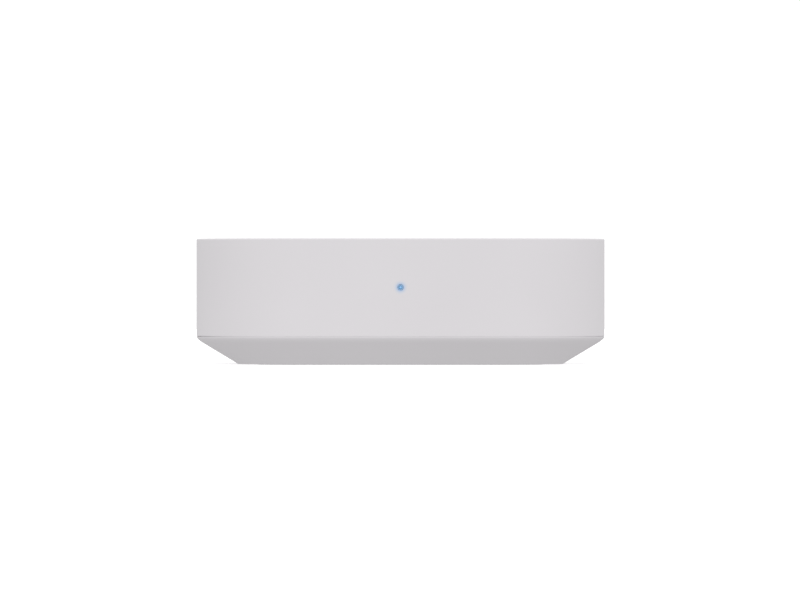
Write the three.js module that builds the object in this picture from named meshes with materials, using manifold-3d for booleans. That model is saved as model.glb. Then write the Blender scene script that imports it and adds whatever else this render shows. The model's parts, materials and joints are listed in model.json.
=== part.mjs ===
// Streaming media player: a white two-part case with its board, ports, cooling and antennas.
// Millimetres, +Z up. The front faces -Y, the ports face +Y, and the origin is under the middle of the foot pad.
import * as THREE from "three";
import { mergeVertices } from "three/addons/utils/BufferGeometryUtils.js";
import { ParametricGeometry } from "three/addons/geometries/ParametricGeometry.js";
import Module from "manifold-3d";

const wasm = await Module();
wasm.setup();

// ---------------------------------------------------------------- driving dimensions

// Case
const width = 100;
const depth = 100;
const height = 30.8;
const cornerRadius = 25;
const wall = 2;
const roof = 2;
const topEdgeRadius = 0.4;
const seamHeight = 7;          // where the two halves of the case meet
const chamferTop = 6.4;        // where the slope and the upright wall would meet if the edge were sharp
const chamferInset = 10.4;     // how far the underside is set in from the wall
const edgeBlend = 1.9;         // length of slope that the soft edge takes up
const baseFloor = 2.4;
const footProud = 0.2;
const lipThickness = 1.2;
const lipHeight = 2;
const lipGap = 0.3;

// Rubber pad under the case
const padMargin = 4.6;         // from the edge of the underside
const padThickness = 1.2;
const padGap = 0.2;

// Screws
const caseScrewRadius = 1.3;
const caseScrewLength = 10;
const boardScrewRadius = 1;
const boardScrewLength = 5.5;
const screwHeadRatio = 1.8;    // head radius over shaft radius
const screwHeadHeight = 1.5;
const screwClearance = 0.1;
const caseScrewInset = 18.2;   // from the outer wall, along the diagonal of the corner
const caseBossRadius = 3.5;
const boardPostRadius = 2.8;
const boardPostX = 37;
const boardPostY = 14;

// Circuit board
const boardThickness = 1.6;
const boardUnderside = 8;
const boardEdgeGap = 0.8;
const boardNotchGap = 0.8;

// Port panel
const portGap = 1.3;
const panelMargin = 0.9;
const panelThickness = 1.6;
const panelRecess = 0.8;
const panelGap = 0.2;
const panelLap = 1.6;          // how far the panel reaches up behind the wall
const panelGrooveDepth = 0.8;
const portClearance = 0.3;
const windowHeadroom = 0.9;    // from the tallest port to the top of the window

// Ports: the size of each body, across, along and up
const powerJackSize = [9, 14, 11];
const powerBoreRadius = 3.15;
const powerBoreDepth = 10;
const powerBoreHeight = 6.4;
const powerPinRadius = 1;
const hdmiSize = [15, 12, 5.7];
const ethernetSize = [16, 18, 13.4];
const ethernetCavity = [11.8, 12, 7];
const ethernetLatch = [6.2, 12, 2];
const usbSize = [13.2, 14, 6];
const resetSize = [6, 3.6, 5.4];
const sheet = 0.4;             // metal of the port shells
const sheetGap = 0.1;

// Reset button
const resetCapRadius = 1.5;
const resetFlangeRadius = 2.2;
const resetTravel = 0.4;
const resetHeight = 3.6;       // its axis above the board
const resetRecess = 0.3;
const resetGap = 0.2;
const plungerRadius = 1;
const plungerLength = 4;

// Processor and its cooling
const processorPlace = [6, -4];
const processorSize = [15, 15, 1.4];
const thermalPadThickness = 0.8;
const sinkSize = 38;
const sinkBase = 2.5;
const sinkHeight = 10.5;
const finCount = 8;
const finThickness = 1.3;
const pinInset = 3.2;
const pinShankRadius = 1.4;
const pinHoleRadius = 1.7;
const pinHeadRadius = 2.9;
const springHeight = 5;
const springWireRadius = 0.22;
const springTurns = 3.5;

// Status light
const lightTipRadius = 0.65;
const lightHoleGap = 0.1;
const lightPipeRadius = 1.4;
const ledInset = 8.5;          // from the front face to the light source
const ledSize = [3, 2, 1];
const ledGap = 0.3;

// Radio
const wifiPlace = [-16, -31];
const wifiSize = [15, 12, 2.2];
const cableRadius = 0.56;
const cablePlugRadius = 1.3;
const cablePlugHeight = 1.1;
const antennaSize = [0.6, 28, 9];
const antennaHeight = 18;

// Other parts on the board: place, then size
const memoryPlaces = [[-21, 2.6], [-21, -9.6]];
const memorySize = [9, 11.4, 1.1];
const flashPlace = [-21, 16.4];
const flashSize = [11.5, 13, 1];
const transformerPlace = [-2, 22];
const transformerSize = [15, 9.5, 5.5];
const inductorPlace = [31, 21];
const inductorSize = [7.3, 6.8, 4];
const capacitorPlaces = [[31, 4], [31, -5]];
const capacitorRadius = 3.15;
const capacitorHeight = 7.7;

// Vents through the slope at the back
const ventCount = 13;
const ventPitch = 4.4;
const ventWidth = 2;
const ventLength = 5.5;
const ventSetback = 0.6;       // from the port panel's inner face

// ---------------------------------------------------------------- worked-out places

const halfX = width / 2;
const halfY = depth / 2;
const cornerX = halfX - cornerRadius;
const cornerY = halfY - cornerRadius;
const underside = footProud;
const floorTop = underside + baseFloor;
const roofUnderside = height - roof;
const lipOuter = wall + lipGap;
const lipInner = lipOuter + lipThickness;
const lipTop = seamHeight + lipHeight;
const boardTop = boardUnderside + boardThickness;
const boardInset = lipInner + boardEdgeGap;
const padInset = chamferInset + padMargin;
const lightHeight = (seamHeight + height) / 2;

const portSizes = {
  power: powerJackSize,
  hdmi: hdmiSize,
  ethernet: ethernetSize,
  usb: usbSize,
  reset: resetSize,
};
const portRowWidth = Object.values(portSizes).reduce((sum, size) => sum + size[0] + portGap, -portGap);
const panelHalf = portRowWidth / 2 + panelMargin;
const windowHalf = panelHalf + panelGap;
const windowTop = boardTop + ethernetSize[2] + windowHeadroom;
const panelFace = Math.min(wallYAt(windowHalf) - panelRecess, halfY - wall - panelGap);
const panelBack = panelFace - panelThickness;
const portX = portCentres();

const screwDiagonal = (cornerRadius - caseScrewInset) * Math.SQRT1_2;
const caseScrewPlaces = fourPlaces(cornerX + screwDiagonal, cornerY + screwDiagonal);
const boardScrewPlaces = fourPlaces(boardPostX, boardPostY);
const padRecessTop = underside + padThickness - footProud;
const caseScrewSeat = padRecessTop + screwHeadHeight + screwClearance;

const sinkUnderside = boardTop + processorSize[2] + thermalPadThickness;
const pinOffset = sinkSize / 2 - pinInset;
const pinPlaces = [
  [processorPlace[0] - pinOffset, processorPlace[1] + pinOffset],
  [processorPlace[0] + pinOffset, processorPlace[1] - pinOffset],
];

// Outer Y of the upright wall at a given X.
function wallYAt(x) {
  const past = Math.max(0, Math.abs(x) - cornerX);
  return cornerY + Math.sqrt(cornerRadius ** 2 - past ** 2);
}

// Ports stand side by side from +X to -X, each with the same gap to the next.
function portCentres() {
  const centres = {};
  let edge = portRowWidth / 2;
  for (const [name, size] of Object.entries(portSizes)) {
    centres[name] = edge - size[0] / 2;
    edge -= size[0] + portGap;
  }
  return centres;
}

function fourPlaces(x, y) {
  return [[x, y], [-x, y], [-x, -y], [x, -y]];
}

// ---------------------------------------------------------------- solids

const roundSegments = 24;
const smallSegments = 12;
const cornerSegments = 10;

// A closed geometry as a solid that can be joined and cut.
function solid(geometry) {
  const bare = geometry.clone();
  bare.deleteAttribute("normal");
  bare.deleteAttribute("uv");
  const merged = mergeVertices(bare, 1e-4);
  const triVerts = [];
  for (let i = 0; i < merged.index.count; i += 3) {
    const [a, b, c] = [0, 1, 2].map((k) => merged.index.getX(i + k));
    if (a !== b && b !== c && c !== a) {
      triVerts.push(a, b, c);
    }
  }
  const vertProperties = new Float32Array(merged.attributes.position.array);
  return new wasm.Manifold(new wasm.Mesh({ numProp: 3, vertProperties, triVerts: new Uint32Array(triVerts) }));
}

function join(first, ...others) {
  return others.reduce((whole, other) => whole.add(other), first);
}

function cut(first, ...others) {
  return others.reduce((whole, other) => whole.subtract(other), first);
}

function geometryOf(shape) {
  const { vertProperties, triVerts } = shape.getMesh();
  const geometry = new THREE.BufferGeometry();
  geometry.setAttribute("position", new THREE.BufferAttribute(vertProperties, 3));
  geometry.setIndex(new THREE.BufferAttribute(triVerts, 1));
  return geometry;
}

function block([x0, y0, z0], [x1, y1, z1]) {
  const geometry = new THREE.BoxGeometry(x1 - x0, y1 - y0, z1 - z0);
  geometry.translate((x0 + x1) / 2, (y0 + y1) / 2, (z0 + z1) / 2);
  return solid(geometry);
}

function post(x, y, z0, z1, radius, segments = roundSegments) {
  const geometry = new THREE.CylinderGeometry(radius, radius, z1 - z0, segments);
  geometry.rotateX(Math.PI / 2);
  geometry.translate(x, y, (z0 + z1) / 2);
  return solid(geometry);
}

// A round bar that runs front to back.
function bar(x, z, y0, y1, radius, segments = roundSegments) {
  const geometry = new THREE.CylinderGeometry(radius, radius, y1 - y0, segments);
  geometry.translate(x, (y0 + y1) / 2, z);
  return solid(geometry);
}

// A turned piece about the Z axis, from [radius, z] steps listed from the bottom up.
function turned(steps, segments = smallSegments) {
  const profile = steps.map(([radius, z]) => new THREE.Vector2(radius, z));
  const geometry = new THREE.LatheGeometry(profile, segments);
  geometry.rotateX(Math.PI / 2);
  return solid(geometry);
}

// A solid with the plan of the case: its side follows [inset, z] steps from the bottom up.
function moulding(steps) {
  const around = 4 * (cornerSegments + 1);
  const surface = (u, v, target) => {
    const level = Math.round(v * (steps.length + 1));
    const [inset, z] = steps[THREE.MathUtils.clamp(level - 1, 0, steps.length - 1)];
    const place = Math.round(u * around) % around;
    const quarter = Math.floor(place / (cornerSegments + 1));
    const angle = (quarter + (place % (cornerSegments + 1)) / cornerSegments) * Math.PI / 2;
    const radius = cornerRadius - inset;
    const x = (quarter === 0 || quarter === 3 ? cornerX : -cornerX) + radius * Math.cos(angle);
    const y = (quarter < 2 ? cornerY : -cornerY) + radius * Math.sin(angle);
    const pole = level === 0 || level === steps.length + 1;
    target.set(pole ? 0 : x, pole ? 0 : y, z);
  };
  return solid(new ParametricGeometry(surface, around, steps.length + 1));
}

function plate(shape, z0, z1) {
  const geometry = new THREE.ExtrudeGeometry(shape, { depth: z1 - z0, bevelEnabled: false, curveSegments: 4 });
  geometry.translate(0, 0, z0);
  return solid(geometry);
}

// A round tube or wire along a curve. A full circle takes two sides for each curve segment.
function tube(path, radius, steps, sides = 8) {
  const section = new THREE.Shape();
  section.absarc(0, 0, radius, 0, Math.PI * 2);
  const options = { steps, extrudePath: path, bevelEnabled: false, curveSegments: sides / 2 };
  return solid(new THREE.ExtrudeGeometry(section, options));
}

const group = new THREE.Group();

function addNode(name, shape, finish, parent = group) {
  const material = new THREE.MeshStandardMaterial(finish);
  const mesh = new THREE.Mesh(geometryOf(shape), material);
  mesh.name = name;
  parent.add(mesh);
  return mesh;
}

// ---------------------------------------------------------------- finishes

const whitePlastic = { color: "#e6e4e6", roughness: 0.55, metalness: 0 };
const greyPlastic = { color: "#c9c7c9", roughness: 0.6, metalness: 0 };
const blackPlastic = { color: "#17181a", roughness: 0.5, metalness: 0 };
const greyRubber = { color: "#b9b8ba", roughness: 0.85, metalness: 0 };
const blackRubber = { color: "#1d1d1f", roughness: 0.8, metalness: 0 };
const clearPlastic = { color: "#dfeefa", roughness: 0.1, metalness: 0 };
const greenBoard = { color: "#1c4a35", roughness: 0.45, metalness: 0 };
const tinnedSteel = { color: "#c4c6c8", roughness: 0.3, metalness: 1 };
const blackSteel = { color: "#3b3c3f", roughness: 0.35, metalness: 1 };
const aluminium = { color: "#b7babd", roughness: 0.35, metalness: 1 };
const brass = { color: "#c8a85a", roughness: 0.3, metalness: 1 };
const greyPad = { color: "#8d949c", roughness: 0.9, metalness: 0 };
const ledPlastic = { color: "#9cc8f2", roughness: 0.3, metalness: 0 };

// ---------------------------------------------------------------- case

// The lower edge of the case: slope, soft blend, then the upright wall up to the seam.
function lowerOutline() {
  const slopeLength = Math.hypot(chamferInset, chamferTop - underside);
  const along = edgeBlend / slopeLength;
  const blend = new THREE.QuadraticBezierCurve(
    new THREE.Vector2(chamferInset * along, chamferTop - (chamferTop - underside) * along),
    new THREE.Vector2(0, chamferTop),
    new THREE.Vector2(0, seamHeight),
  );
  return [[chamferInset, underside], ...blend.getPoints(5).map((point) => [point.x, point.y])];
}

// Height of the inner face of the slope at an inset, one wall in from the outer face.
function innerSlopeAt(inset) {
  const slope = (chamferTop - underside) / chamferInset;
  return chamferTop - slope * inset + wall * Math.hypot(1, slope);
}

function lowerHollow() {
  const slope = (chamferTop - underside) / chamferInset;
  const floorInset = (innerSlopeAt(0) - floorTop) / slope;
  return moulding([[floorInset, floorTop], [lipInner, innerSlopeAt(lipInner)], [lipInner, lipTop + 1]]);
}

function topOutline() {
  const steps = [[0, seamHeight]];
  for (let i = 0; i <= 3; i += 1) {
    const angle = (i / 3) * Math.PI / 2;
    const inset = topEdgeRadius * (1 - Math.cos(angle));
    steps.push([inset, height - topEdgeRadius * (1 - Math.sin(angle))]);
  }
  return steps;
}

function windowCut() {
  return block([-windowHalf, panelBack - 1, seamHeight - 1], [windowHalf, halfY + 1, windowTop]);
}

function topShell() {
  const hollow = moulding([[wall, seamHeight - 1], [wall, roofUnderside]]);
  const bosses = caseScrewPlaces.map(([x, y]) =>
    post(x, y, seamHeight + screwClearance, roofUnderside + roof / 2, caseBossRadius));
  const pilots = caseScrewPlaces.map(([x, y]) => {
    const tip = caseScrewSeat + caseScrewLength + 1;
    return post(x, y, seamHeight - 1, tip, caseScrewRadius + screwClearance, smallSegments);
  });
  const lightHole = bar(0, lightHeight, -halfY - 1, -halfY + wall + 1, lightTipRadius + lightHoleGap, smallSegments);
  const stakes = [-1, 1].map((side) =>
    bar(side * stakeOffset, lightHeight, -halfY + wall / 2, -halfY + wall + earThickness + 1, stakeRadius, smallSegments));
  const shell = cut(moulding(topOutline()), hollow, windowCut(), lightHole);
  return cut(join(shell, ...bosses, ...stakes), ...pilots);
}

function panelGroove() {
  const front = panelBack - panelGap;
  const floor = seamHeight - panelGrooveDepth;
  return block([-windowHalf, front, floor], [windowHalf, panelFace + panelGap, lipTop + 1]);
}

// One slot cut straight up through the slope at the back.
function vent(index) {
  const x = (index - (ventCount - 1) / 2) * ventPitch;
  const y = panelBack - ventSetback - ventLength / 2;
  const straight = (ventLength - ventWidth) / 2;
  const slot = new THREE.Shape();
  slot.absarc(x, y + straight, ventWidth / 2, 0, Math.PI);
  slot.absarc(x, y - straight, ventWidth / 2, Math.PI, Math.PI * 2);
  return plate(slot, underside - 1, seamHeight);
}

function baseShell() {
  const lip = moulding([[lipOuter, seamHeight - 1], [lipOuter, lipTop]]);
  const rearLip = block([-windowHalf, panelBack - 2, seamHeight], [windowHalf, halfY, lipTop + 1]);
  const tray = cut(join(moulding(lowerOutline()), lip), lowerHollow(), rearLip);
  const boardPosts = boardScrewPlaces.map(([x, y]) =>
    post(x, y, floorTop - baseFloor / 3, boardUnderside, boardPostRadius));
  const boardPilots = boardScrewPlaces.map(([x, y]) =>
    post(x, y, boardTop - boardScrewLength - 0.5, boardTop, boardScrewRadius + screwClearance, smallSegments));
  const casePosts = caseScrewPlaces.map(([x, y]) =>
    post(x, y, padRecessTop + 0.4, seamHeight, caseBossRadius));
  const caseHoles = caseScrewPlaces.map(([x, y]) =>
    post(x, y, underside - 1, seamHeight + 1, caseScrewRadius + 2 * screwClearance, smallSegments));
  const headHoles = caseScrewPlaces.map(([x, y]) =>
    post(x, y, underside - 1, caseScrewSeat, caseScrewRadius * screwHeadRatio + 2 * screwClearance));
  const padRecess = moulding([[padInset - padGap, underside - 1], [padInset - padGap, padRecessTop]]);
  const vents = Array.from({ length: ventCount }, (_, index) => vent(index));
  const body = join(tray, ...boardPosts, ...casePosts);
  return cut(body, ...boardPilots, ...caseHoles, ...headHoles, padRecess, panelGroove(), ...vents);
}

function footPad() {
  return moulding([[padInset, 0], [padInset, padThickness]]);
}

// A pan-head screw with a cross recess, its head's seat at z = 0 and its shaft down.
function screw(radius, length) {
  const headRadius = radius * screwHeadRatio;
  const body = turned([
    [0, -length],
    [radius * 0.5, -length],
    [radius, -length + radius],
    [radius, 0],
    [headRadius, 0],
    [headRadius, screwHeadHeight * 0.6],
    [headRadius * 0.7, screwHeadHeight],
    [0, screwHeadHeight],
  ]);
  const slotHalf = headRadius * 0.55;
  const slotWidth = radius * 0.25;
  const slotFloor = screwHeadHeight * 0.4;
  const acrossSlot = block([-slotHalf, -slotWidth, slotFloor], [slotHalf, slotWidth, screwHeadHeight + 1]);
  const alongSlot = block([-slotWidth, -slotHalf, slotFloor], [slotWidth, slotHalf, screwHeadHeight + 1]);
  return cut(body, acrossSlot, alongSlot);
}

function addScrews() {
  caseScrewPlaces.forEach(([x, y], index) => {
    const mesh = addNode(`case_screw_${index + 1}`, screw(caseScrewRadius, caseScrewLength), blackSteel);
    mesh.rotation.x = Math.PI;
    mesh.position.set(x, y, caseScrewSeat);
  });
  boardScrewPlaces.forEach(([x, y], index) => {
    const mesh = addNode(`board_screw_${index + 1}`, screw(boardScrewRadius, boardScrewLength), tinnedSteel);
    mesh.position.set(x, y, boardTop);
  });
}

// ---------------------------------------------------------------- port panel and ports

// The moulded plate at the back, which laps behind the wall above its window.
function portPanel() {
  const lapHalf = Math.min(cornerX, panelHalf) - 1;
  const floor = seamHeight - panelGrooveDepth + panelGap;
  const face = block([-panelHalf, panelBack, floor], [panelHalf, panelFace, windowTop - panelGap]);
  const lap = block([-lapHalf, panelBack, windowTop - 2], [lapHalf, panelFace, windowTop + panelLap]);
  const openings = [
    portOpening(portX.hdmi, hdmiSize),
    portOpening(portX.ethernet, ethernetSize),
    portOpening(portX.usb, usbSize),
    bar(portX.power, boardTop + powerBoreHeight, panelBack - 1, panelFace + 1, powerCollarRadius + portClearance),
    bar(portX.reset, boardTop + resetHeight, panelBack - 1, panelFace + 1, resetCapRadius + resetGap, smallSegments),
  ];
  return cut(join(face, lap), ...openings);
}

function portOpening(x, [across, , up]) {
  const half = across / 2 + portClearance;
  return block([x - half, panelBack - 1, boardTop - portClearance], [x + half, panelFace + 1, boardTop + up + portClearance]);
}

// Each port is made in its own group: mouth at y = 0 facing +Y, standing on the board at z = 0.
function portGroup(name) {
  const place = new THREE.Group();
  place.position.set(portX[name], panelFace, boardTop);
  group.add(place);
  return place;
}

const powerCollarRadius = powerBoreRadius + 0.9;

function addPowerJack() {
  const place = portGroup("power");
  const [across, along, up] = powerJackSize;
  const shoulder = -panelThickness - portClearance;
  const housing = block([-across / 2, -along, 0], [across / 2, shoulder, up]);
  const collar = bar(0, powerBoreHeight, shoulder - 1, 0, powerCollarRadius);
  const bore = bar(0, powerBoreHeight, -powerBoreDepth, 1, powerBoreRadius);
  addNode("power_jack", cut(join(housing, collar), bore), blackPlastic, place);
  const pin = addNode("power_jack_pin", turned([
    [0, 0],
    [powerPinRadius, 0],
    [powerPinRadius, powerBoreDepth - 2],
    [powerPinRadius * 0.5, powerBoreDepth - 1],
    [0, powerBoreDepth - 1],
  ]), tinnedSteel, place);
  pin.rotation.x = -Math.PI / 2;
  pin.position.set(0, -powerBoreDepth, powerBoreHeight);
}

// Outline of the HDMI socket, seen from the mouth: upright sides above, sloping sides below.
function hdmiOutline(inset) {
  const [across, , up] = hdmiSize;
  const half = across / 2 - inset;
  const low = inset;
  const high = up - inset;
  const outline = [[-half, high], [-half, 2.6], [-half + 1.6, low], [half - 1.6, low], [half, 2.6], [half, high]];
  return new THREE.Shape(outline.map(([x, z]) => new THREE.Vector2(x, z)));
}

// A section drawn in X and Z, drawn out along Y.
function drawnOut(section, y0, y1) {
  const geometry = new THREE.ExtrudeGeometry(section, { depth: y1 - y0, bevelEnabled: false });
  geometry.rotateX(Math.PI / 2);
  geometry.translate(0, y1, 0);
  return solid(geometry);
}

function addHdmi() {
  const place = portGroup("hdmi");
  const [across, along] = hdmiSize;
  const shell = cut(drawnOut(hdmiOutline(0), -along, 0), drawnOut(hdmiOutline(sheet), -along - 1, 1));
  addNode("hdmi_shell", shell, tinnedSteel, place);
  const root = drawnOut(hdmiOutline(sheet + sheetGap), -along, -along + 3);
  const tongue = block([-across / 2 + 2.4, -along + 2, 2.6], [across / 2 - 2.4, -1, 3.7]);
  addNode("hdmi_tongue", join(root, tongue), blackPlastic, place);
}

function addUsb() {
  const place = portGroup("usb");
  const [across, along, up] = usbSize;
  const half = across / 2;
  const inner = sheet + sheetGap;
  const bore = block([-half + sheet, -along - 1, sheet], [half - sheet, 1, up - sheet]);
  addNode("usb_shell", cut(block([-half, -along, 0], [half, 0, up]), bore), tinnedSteel, place);
  const root = block([-half + inner, -along, inner], [half - inner, -along + 3, up - inner]);
  const tongue = block([-half + 1.2, -along + 2, up - 2.7], [half - 1.2, -1, up - 0.9]);
  addNode("usb_tongue", join(root, tongue), blackPlastic, place);
}

function addEthernet() {
  const place = portGroup("ethernet");
  const [across, along, up] = ethernetSize;
  const half = across / 2;
  const inner = sheet + sheetGap;
  const hollow = block([-half + sheet, -along + sheet, -1], [half - sheet, 1, up - sheet]);
  addNode("ethernet_shield", cut(block([-half, -along, 0], [half, 0, up]), hollow), tinnedSteel, place);
  const body = block([-half + inner, -along + inner, 0], [half - inner, -sheetGap, up - inner]);
  const cavityFloor = (up - ethernetCavity[2] + ethernetLatch[2]) / 2;
  const cavity = block([-ethernetCavity[0] / 2, -ethernetCavity[1], cavityFloor],
    [ethernetCavity[0] / 2, 1, cavityFloor + ethernetCavity[2]]);
  const latch = block([-ethernetLatch[0] / 2, -ethernetLatch[1], cavityFloor - ethernetLatch[2]],
    [ethernetLatch[0] / 2, 1, cavityFloor + 1]);
  addNode("ethernet_socket", cut(body, cavity, latch), blackPlastic, place);
}

function addReset() {
  const place = portGroup("reset");
  const [across, along, up] = resetSize;
  const capBack = -panelThickness - resetTravel - 2 * resetGap - 1;
  const plungerFront = capBack - sheetGap;
  const switchFront = plungerFront - resetTravel - 2.2;
  const boreFloor = plungerFront - plungerLength - resetTravel - resetGap;
  const bore = bar(0, resetHeight, boreFloor, switchFront + 1, plungerRadius + resetGap, smallSegments);
  const body = block([-across / 2, switchFront - along, 0], [across / 2, switchFront, up]);
  addNode("reset_switch", cut(body, bore), blackPlastic, place);
  const plunger = bar(0, resetHeight, plungerFront - plungerLength, plungerFront, plungerRadius, smallSegments);
  addNode("switch_plunger", plunger, greyPlastic, place);
  const stem = bar(0, resetHeight, capBack + 0.5, -resetRecess, resetCapRadius, smallSegments);
  const flange = bar(0, resetHeight, capBack, capBack + 1, resetFlangeRadius, smallSegments);
  addNode("reset_button", join(stem, flange), greyPlastic, place);
}

// ---------------------------------------------------------------- board, chips and cooling

function mainBoard() {
  const blank = moulding([[boardInset, boardUnderside], [boardInset, boardTop]]);
  const notches = caseScrewPlaces.map(([x, y]) =>
    post(x, y, boardUnderside - 1, boardTop + 1, caseBossRadius + boardNotchGap));
  const screwHoles = boardScrewPlaces.map(([x, y]) =>
    post(x, y, boardUnderside - 1, boardTop + 1, boardScrewRadius + 2 * screwClearance, smallSegments));
  const pinHoles = pinPlaces.map(([x, y]) =>
    post(x, y, boardUnderside - 1, boardTop + 1, pinHoleRadius, smallSegments));
  const behindPanel = block([-windowHalf - 1, panelBack - boardEdgeGap, boardUnderside - 1],
    [windowHalf + 1, halfY, boardTop + 1]);
  return cut(blank, ...notches, ...screwHoles, ...pinHoles, behindPanel);
}

function addChip(name, [x, y], [across, along, up], finish, z = boardTop) {
  const mesh = addNode(name, block([-across / 2, -along / 2, 0], [across / 2, along / 2, up]), finish);
  mesh.position.set(x, y, z);
}

function heatSink() {
  const half = sinkSize / 2;
  const pitch = (sinkSize - finThickness) / (finCount - 1);
  const base = block([-half, -half, 0], [half, half, sinkBase]);
  const fins = Array.from({ length: finCount }, (_, index) => {
    const x = -half + index * pitch;
    return block([x, -half, sinkBase - 0.5], [x + finThickness, half, sinkHeight]);
  });
  const clearing = pinHeadRadius + pinInset;
  const corners = [-1, 1].map((side) => {
    const x = side * (half - clearing / 2);
    return block([x - clearing / 2 - 1, -x - clearing / 2 - 1, sinkBase], [x + clearing / 2 + 1, -x + clearing / 2 + 1, sinkHeight + 1]);
  });
  const holes = [-1, 1].map((side) =>
    post(side * pinOffset, -side * pinOffset, -1, sinkBase + 1, pinHoleRadius, smallSegments));
  return cut(join(base, ...fins), ...corners, ...holes);
}

// A push pin with its head up at z = 0: the spring pushes on the head, the barb holds under the board.
function pushPin() {
  const headUnderside = 0;
  const boardFar = -(springHeight + sinkBase + sinkUnderside - boardUnderside);
  return turned([
    [0, boardFar - 2],
    [pinShankRadius * 0.6, boardFar - 2],
    [pinHoleRadius + 0.3, boardFar - 0.3],
    [pinShankRadius, boardFar - 0.2],
    [pinShankRadius, headUnderside],
    [pinHeadRadius, headUnderside],
    [pinHeadRadius, headUnderside + 0.6],
    [pinHeadRadius * 0.6, headUnderside + 1.2],
    [0, headUnderside + 1.2],
  ]);
}

class Helix extends THREE.Curve {
  constructor(radius, rise, turns) {
    super();
    Object.assign(this, { radius, rise, turns });
  }

  getPoint(t, target = new THREE.Vector3()) {
    const angle = t * this.turns * Math.PI * 2;
    return target.set(this.radius * Math.cos(angle), this.radius * Math.sin(angle), t * this.rise);
  }
}

function pinSpring() {
  const radius = (pinHoleRadius + pinHeadRadius) / 2 - 0.1;
  const rise = springHeight - 2 * springWireRadius - 2 * sheetGap;
  return tube(new Helix(radius, rise, springTurns), springWireRadius, Math.round(springTurns * 10), 6);
}

function addCooling() {
  const [x, y] = processorPlace;
  addChip("processor_chip", processorPlace, processorSize, blackPlastic);
  addChip("thermal_pad", processorPlace, [processorSize[0], processorSize[1], thermalPadThickness], greyPad,
    boardTop + processorSize[2]);
  addNode("heat_sink", heatSink(), aluminium).position.set(x, y, sinkUnderside);
  const springFloor = sinkUnderside + sinkBase;
  pinPlaces.forEach(([pinX, pinY], index) => {
    addNode(`heat_sink_pin_${index + 1}`, pushPin(), blackPlastic).position.set(pinX, pinY, springFloor + springHeight);
    addNode(`pin_spring_${index + 1}`, pinSpring(), tinnedSteel)
      .position.set(pinX, pinY, springFloor + springWireRadius + sheetGap);
  });
}

function capacitor() {
  const rim = 0.4;
  return turned([
    [0, 0],
    [capacitorRadius - rim, 0],
    [capacitorRadius, rim],
    [capacitorRadius, capacitorHeight - rim],
    [capacitorRadius - rim, capacitorHeight],
    [0, capacitorHeight],
  ], roundSegments);
}

function addBoardParts() {
  memoryPlaces.forEach((place, index) => addChip(`memory_chip_${index + 1}`, place, memorySize, blackPlastic));
  addChip("flash_chip", flashPlace, flashSize, blackPlastic);
  addChip("ethernet_transformer", transformerPlace, transformerSize, blackPlastic);
  addChip("power_inductor", inductorPlace, inductorSize, blackPlastic);
  capacitorPlaces.forEach(([x, y], index) => {
    addNode(`capacitor_${index + 1}`, capacitor(), aluminium).position.set(x, y, boardTop);
  });
}

// ---------------------------------------------------------------- status light

const stakeOffset = 4;
const stakeRadius = 0.6;
const earThickness = 1.2;
const earGap = 0.2;

// Clear pipe: up from the light source, round a bend, and out to a fine tip in the front wall.
function lightPipe() {
  const ledY = -halfY + ledInset;
  const pipeFront = -halfY + wall + earGap;
  const bend = 2.6;
  const low = boardTop + ledSize[2] + ledGap;
  const path = new THREE.CurvePath();
  const bendStart = new THREE.Vector3(0, ledY, lightHeight - bend);
  const bendEnd = new THREE.Vector3(0, ledY - bend, lightHeight);
  path.add(new THREE.LineCurve3(new THREE.Vector3(0, ledY, low), bendStart));
  path.add(new THREE.QuadraticBezierCurve3(bendStart, new THREE.Vector3(0, ledY, lightHeight), bendEnd));
  path.add(new THREE.LineCurve3(bendEnd, new THREE.Vector3(0, pipeFront, lightHeight)));
  const tip = bar(0, lightHeight, -halfY, pipeFront + 1, lightTipRadius, smallSegments);
  const earHalf = stakeOffset + 1.6;
  const ear = block([-earHalf, pipeFront, lightHeight - 1.8], [earHalf, pipeFront + earThickness, lightHeight + 1.8]);
  const stakeHoles = [-1, 1].map((side) =>
    bar(side * stakeOffset, lightHeight, pipeFront - 1, pipeFront + earThickness + 1, stakeRadius + screwClearance,
      smallSegments));
  return cut(join(tube(path, lightPipeRadius, 16, 12), tip, ear), ...stakeHoles);
}

function addStatusLight() {
  addNode("light_pipe", lightPipe(), clearPlastic);
  addChip("status_led", [0, -halfY + ledInset], ledSize, ledPlastic);
}

// ---------------------------------------------------------------- radio

const cableLift = 0.6;         // cable's axis above the top of the plug
const cableGap = 0.5;

function antennaX(side) {
  return side * (halfX - wall - 0.1 - antennaSize[0] / 2);
}

// From the module's plug, round the case's screw boss, and up to the middle of the antenna.
function cablePath(side) {
  const plugX = wifiPlace[0] + side * wifiSize[0] / 4;
  const plugZ = boardTop + wifiSize[2] + cablePlugHeight + cableLift;
  const endX = antennaX(side) - side * (antennaSize[0] / 2 + cableRadius + cableGap);
  const lane = boardTop + 3;
  const middle = side < 0
    ? [[-23.5, -27.5, plugZ], [-27.5, -23.2, lane], [-34, -19.5, lane]]
    : [[-6, -29.2, plugZ], [8, -28, lane], [20, -25.4, lane], [29, -23.4, lane], [36, -19, lane]];
  const points = [
    [plugX, wifiPlace[1] + 1, plugZ],
    ...middle,
    [endX - side * 4, -14.5, lane + 1.4],
    [endX, -9, antennaHeight - 2],
    [endX, -3, antennaHeight],
  ];
  return new THREE.CatmullRomCurve3(points.map((point) => new THREE.Vector3(...point)), false, "centripetal");
}

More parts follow.
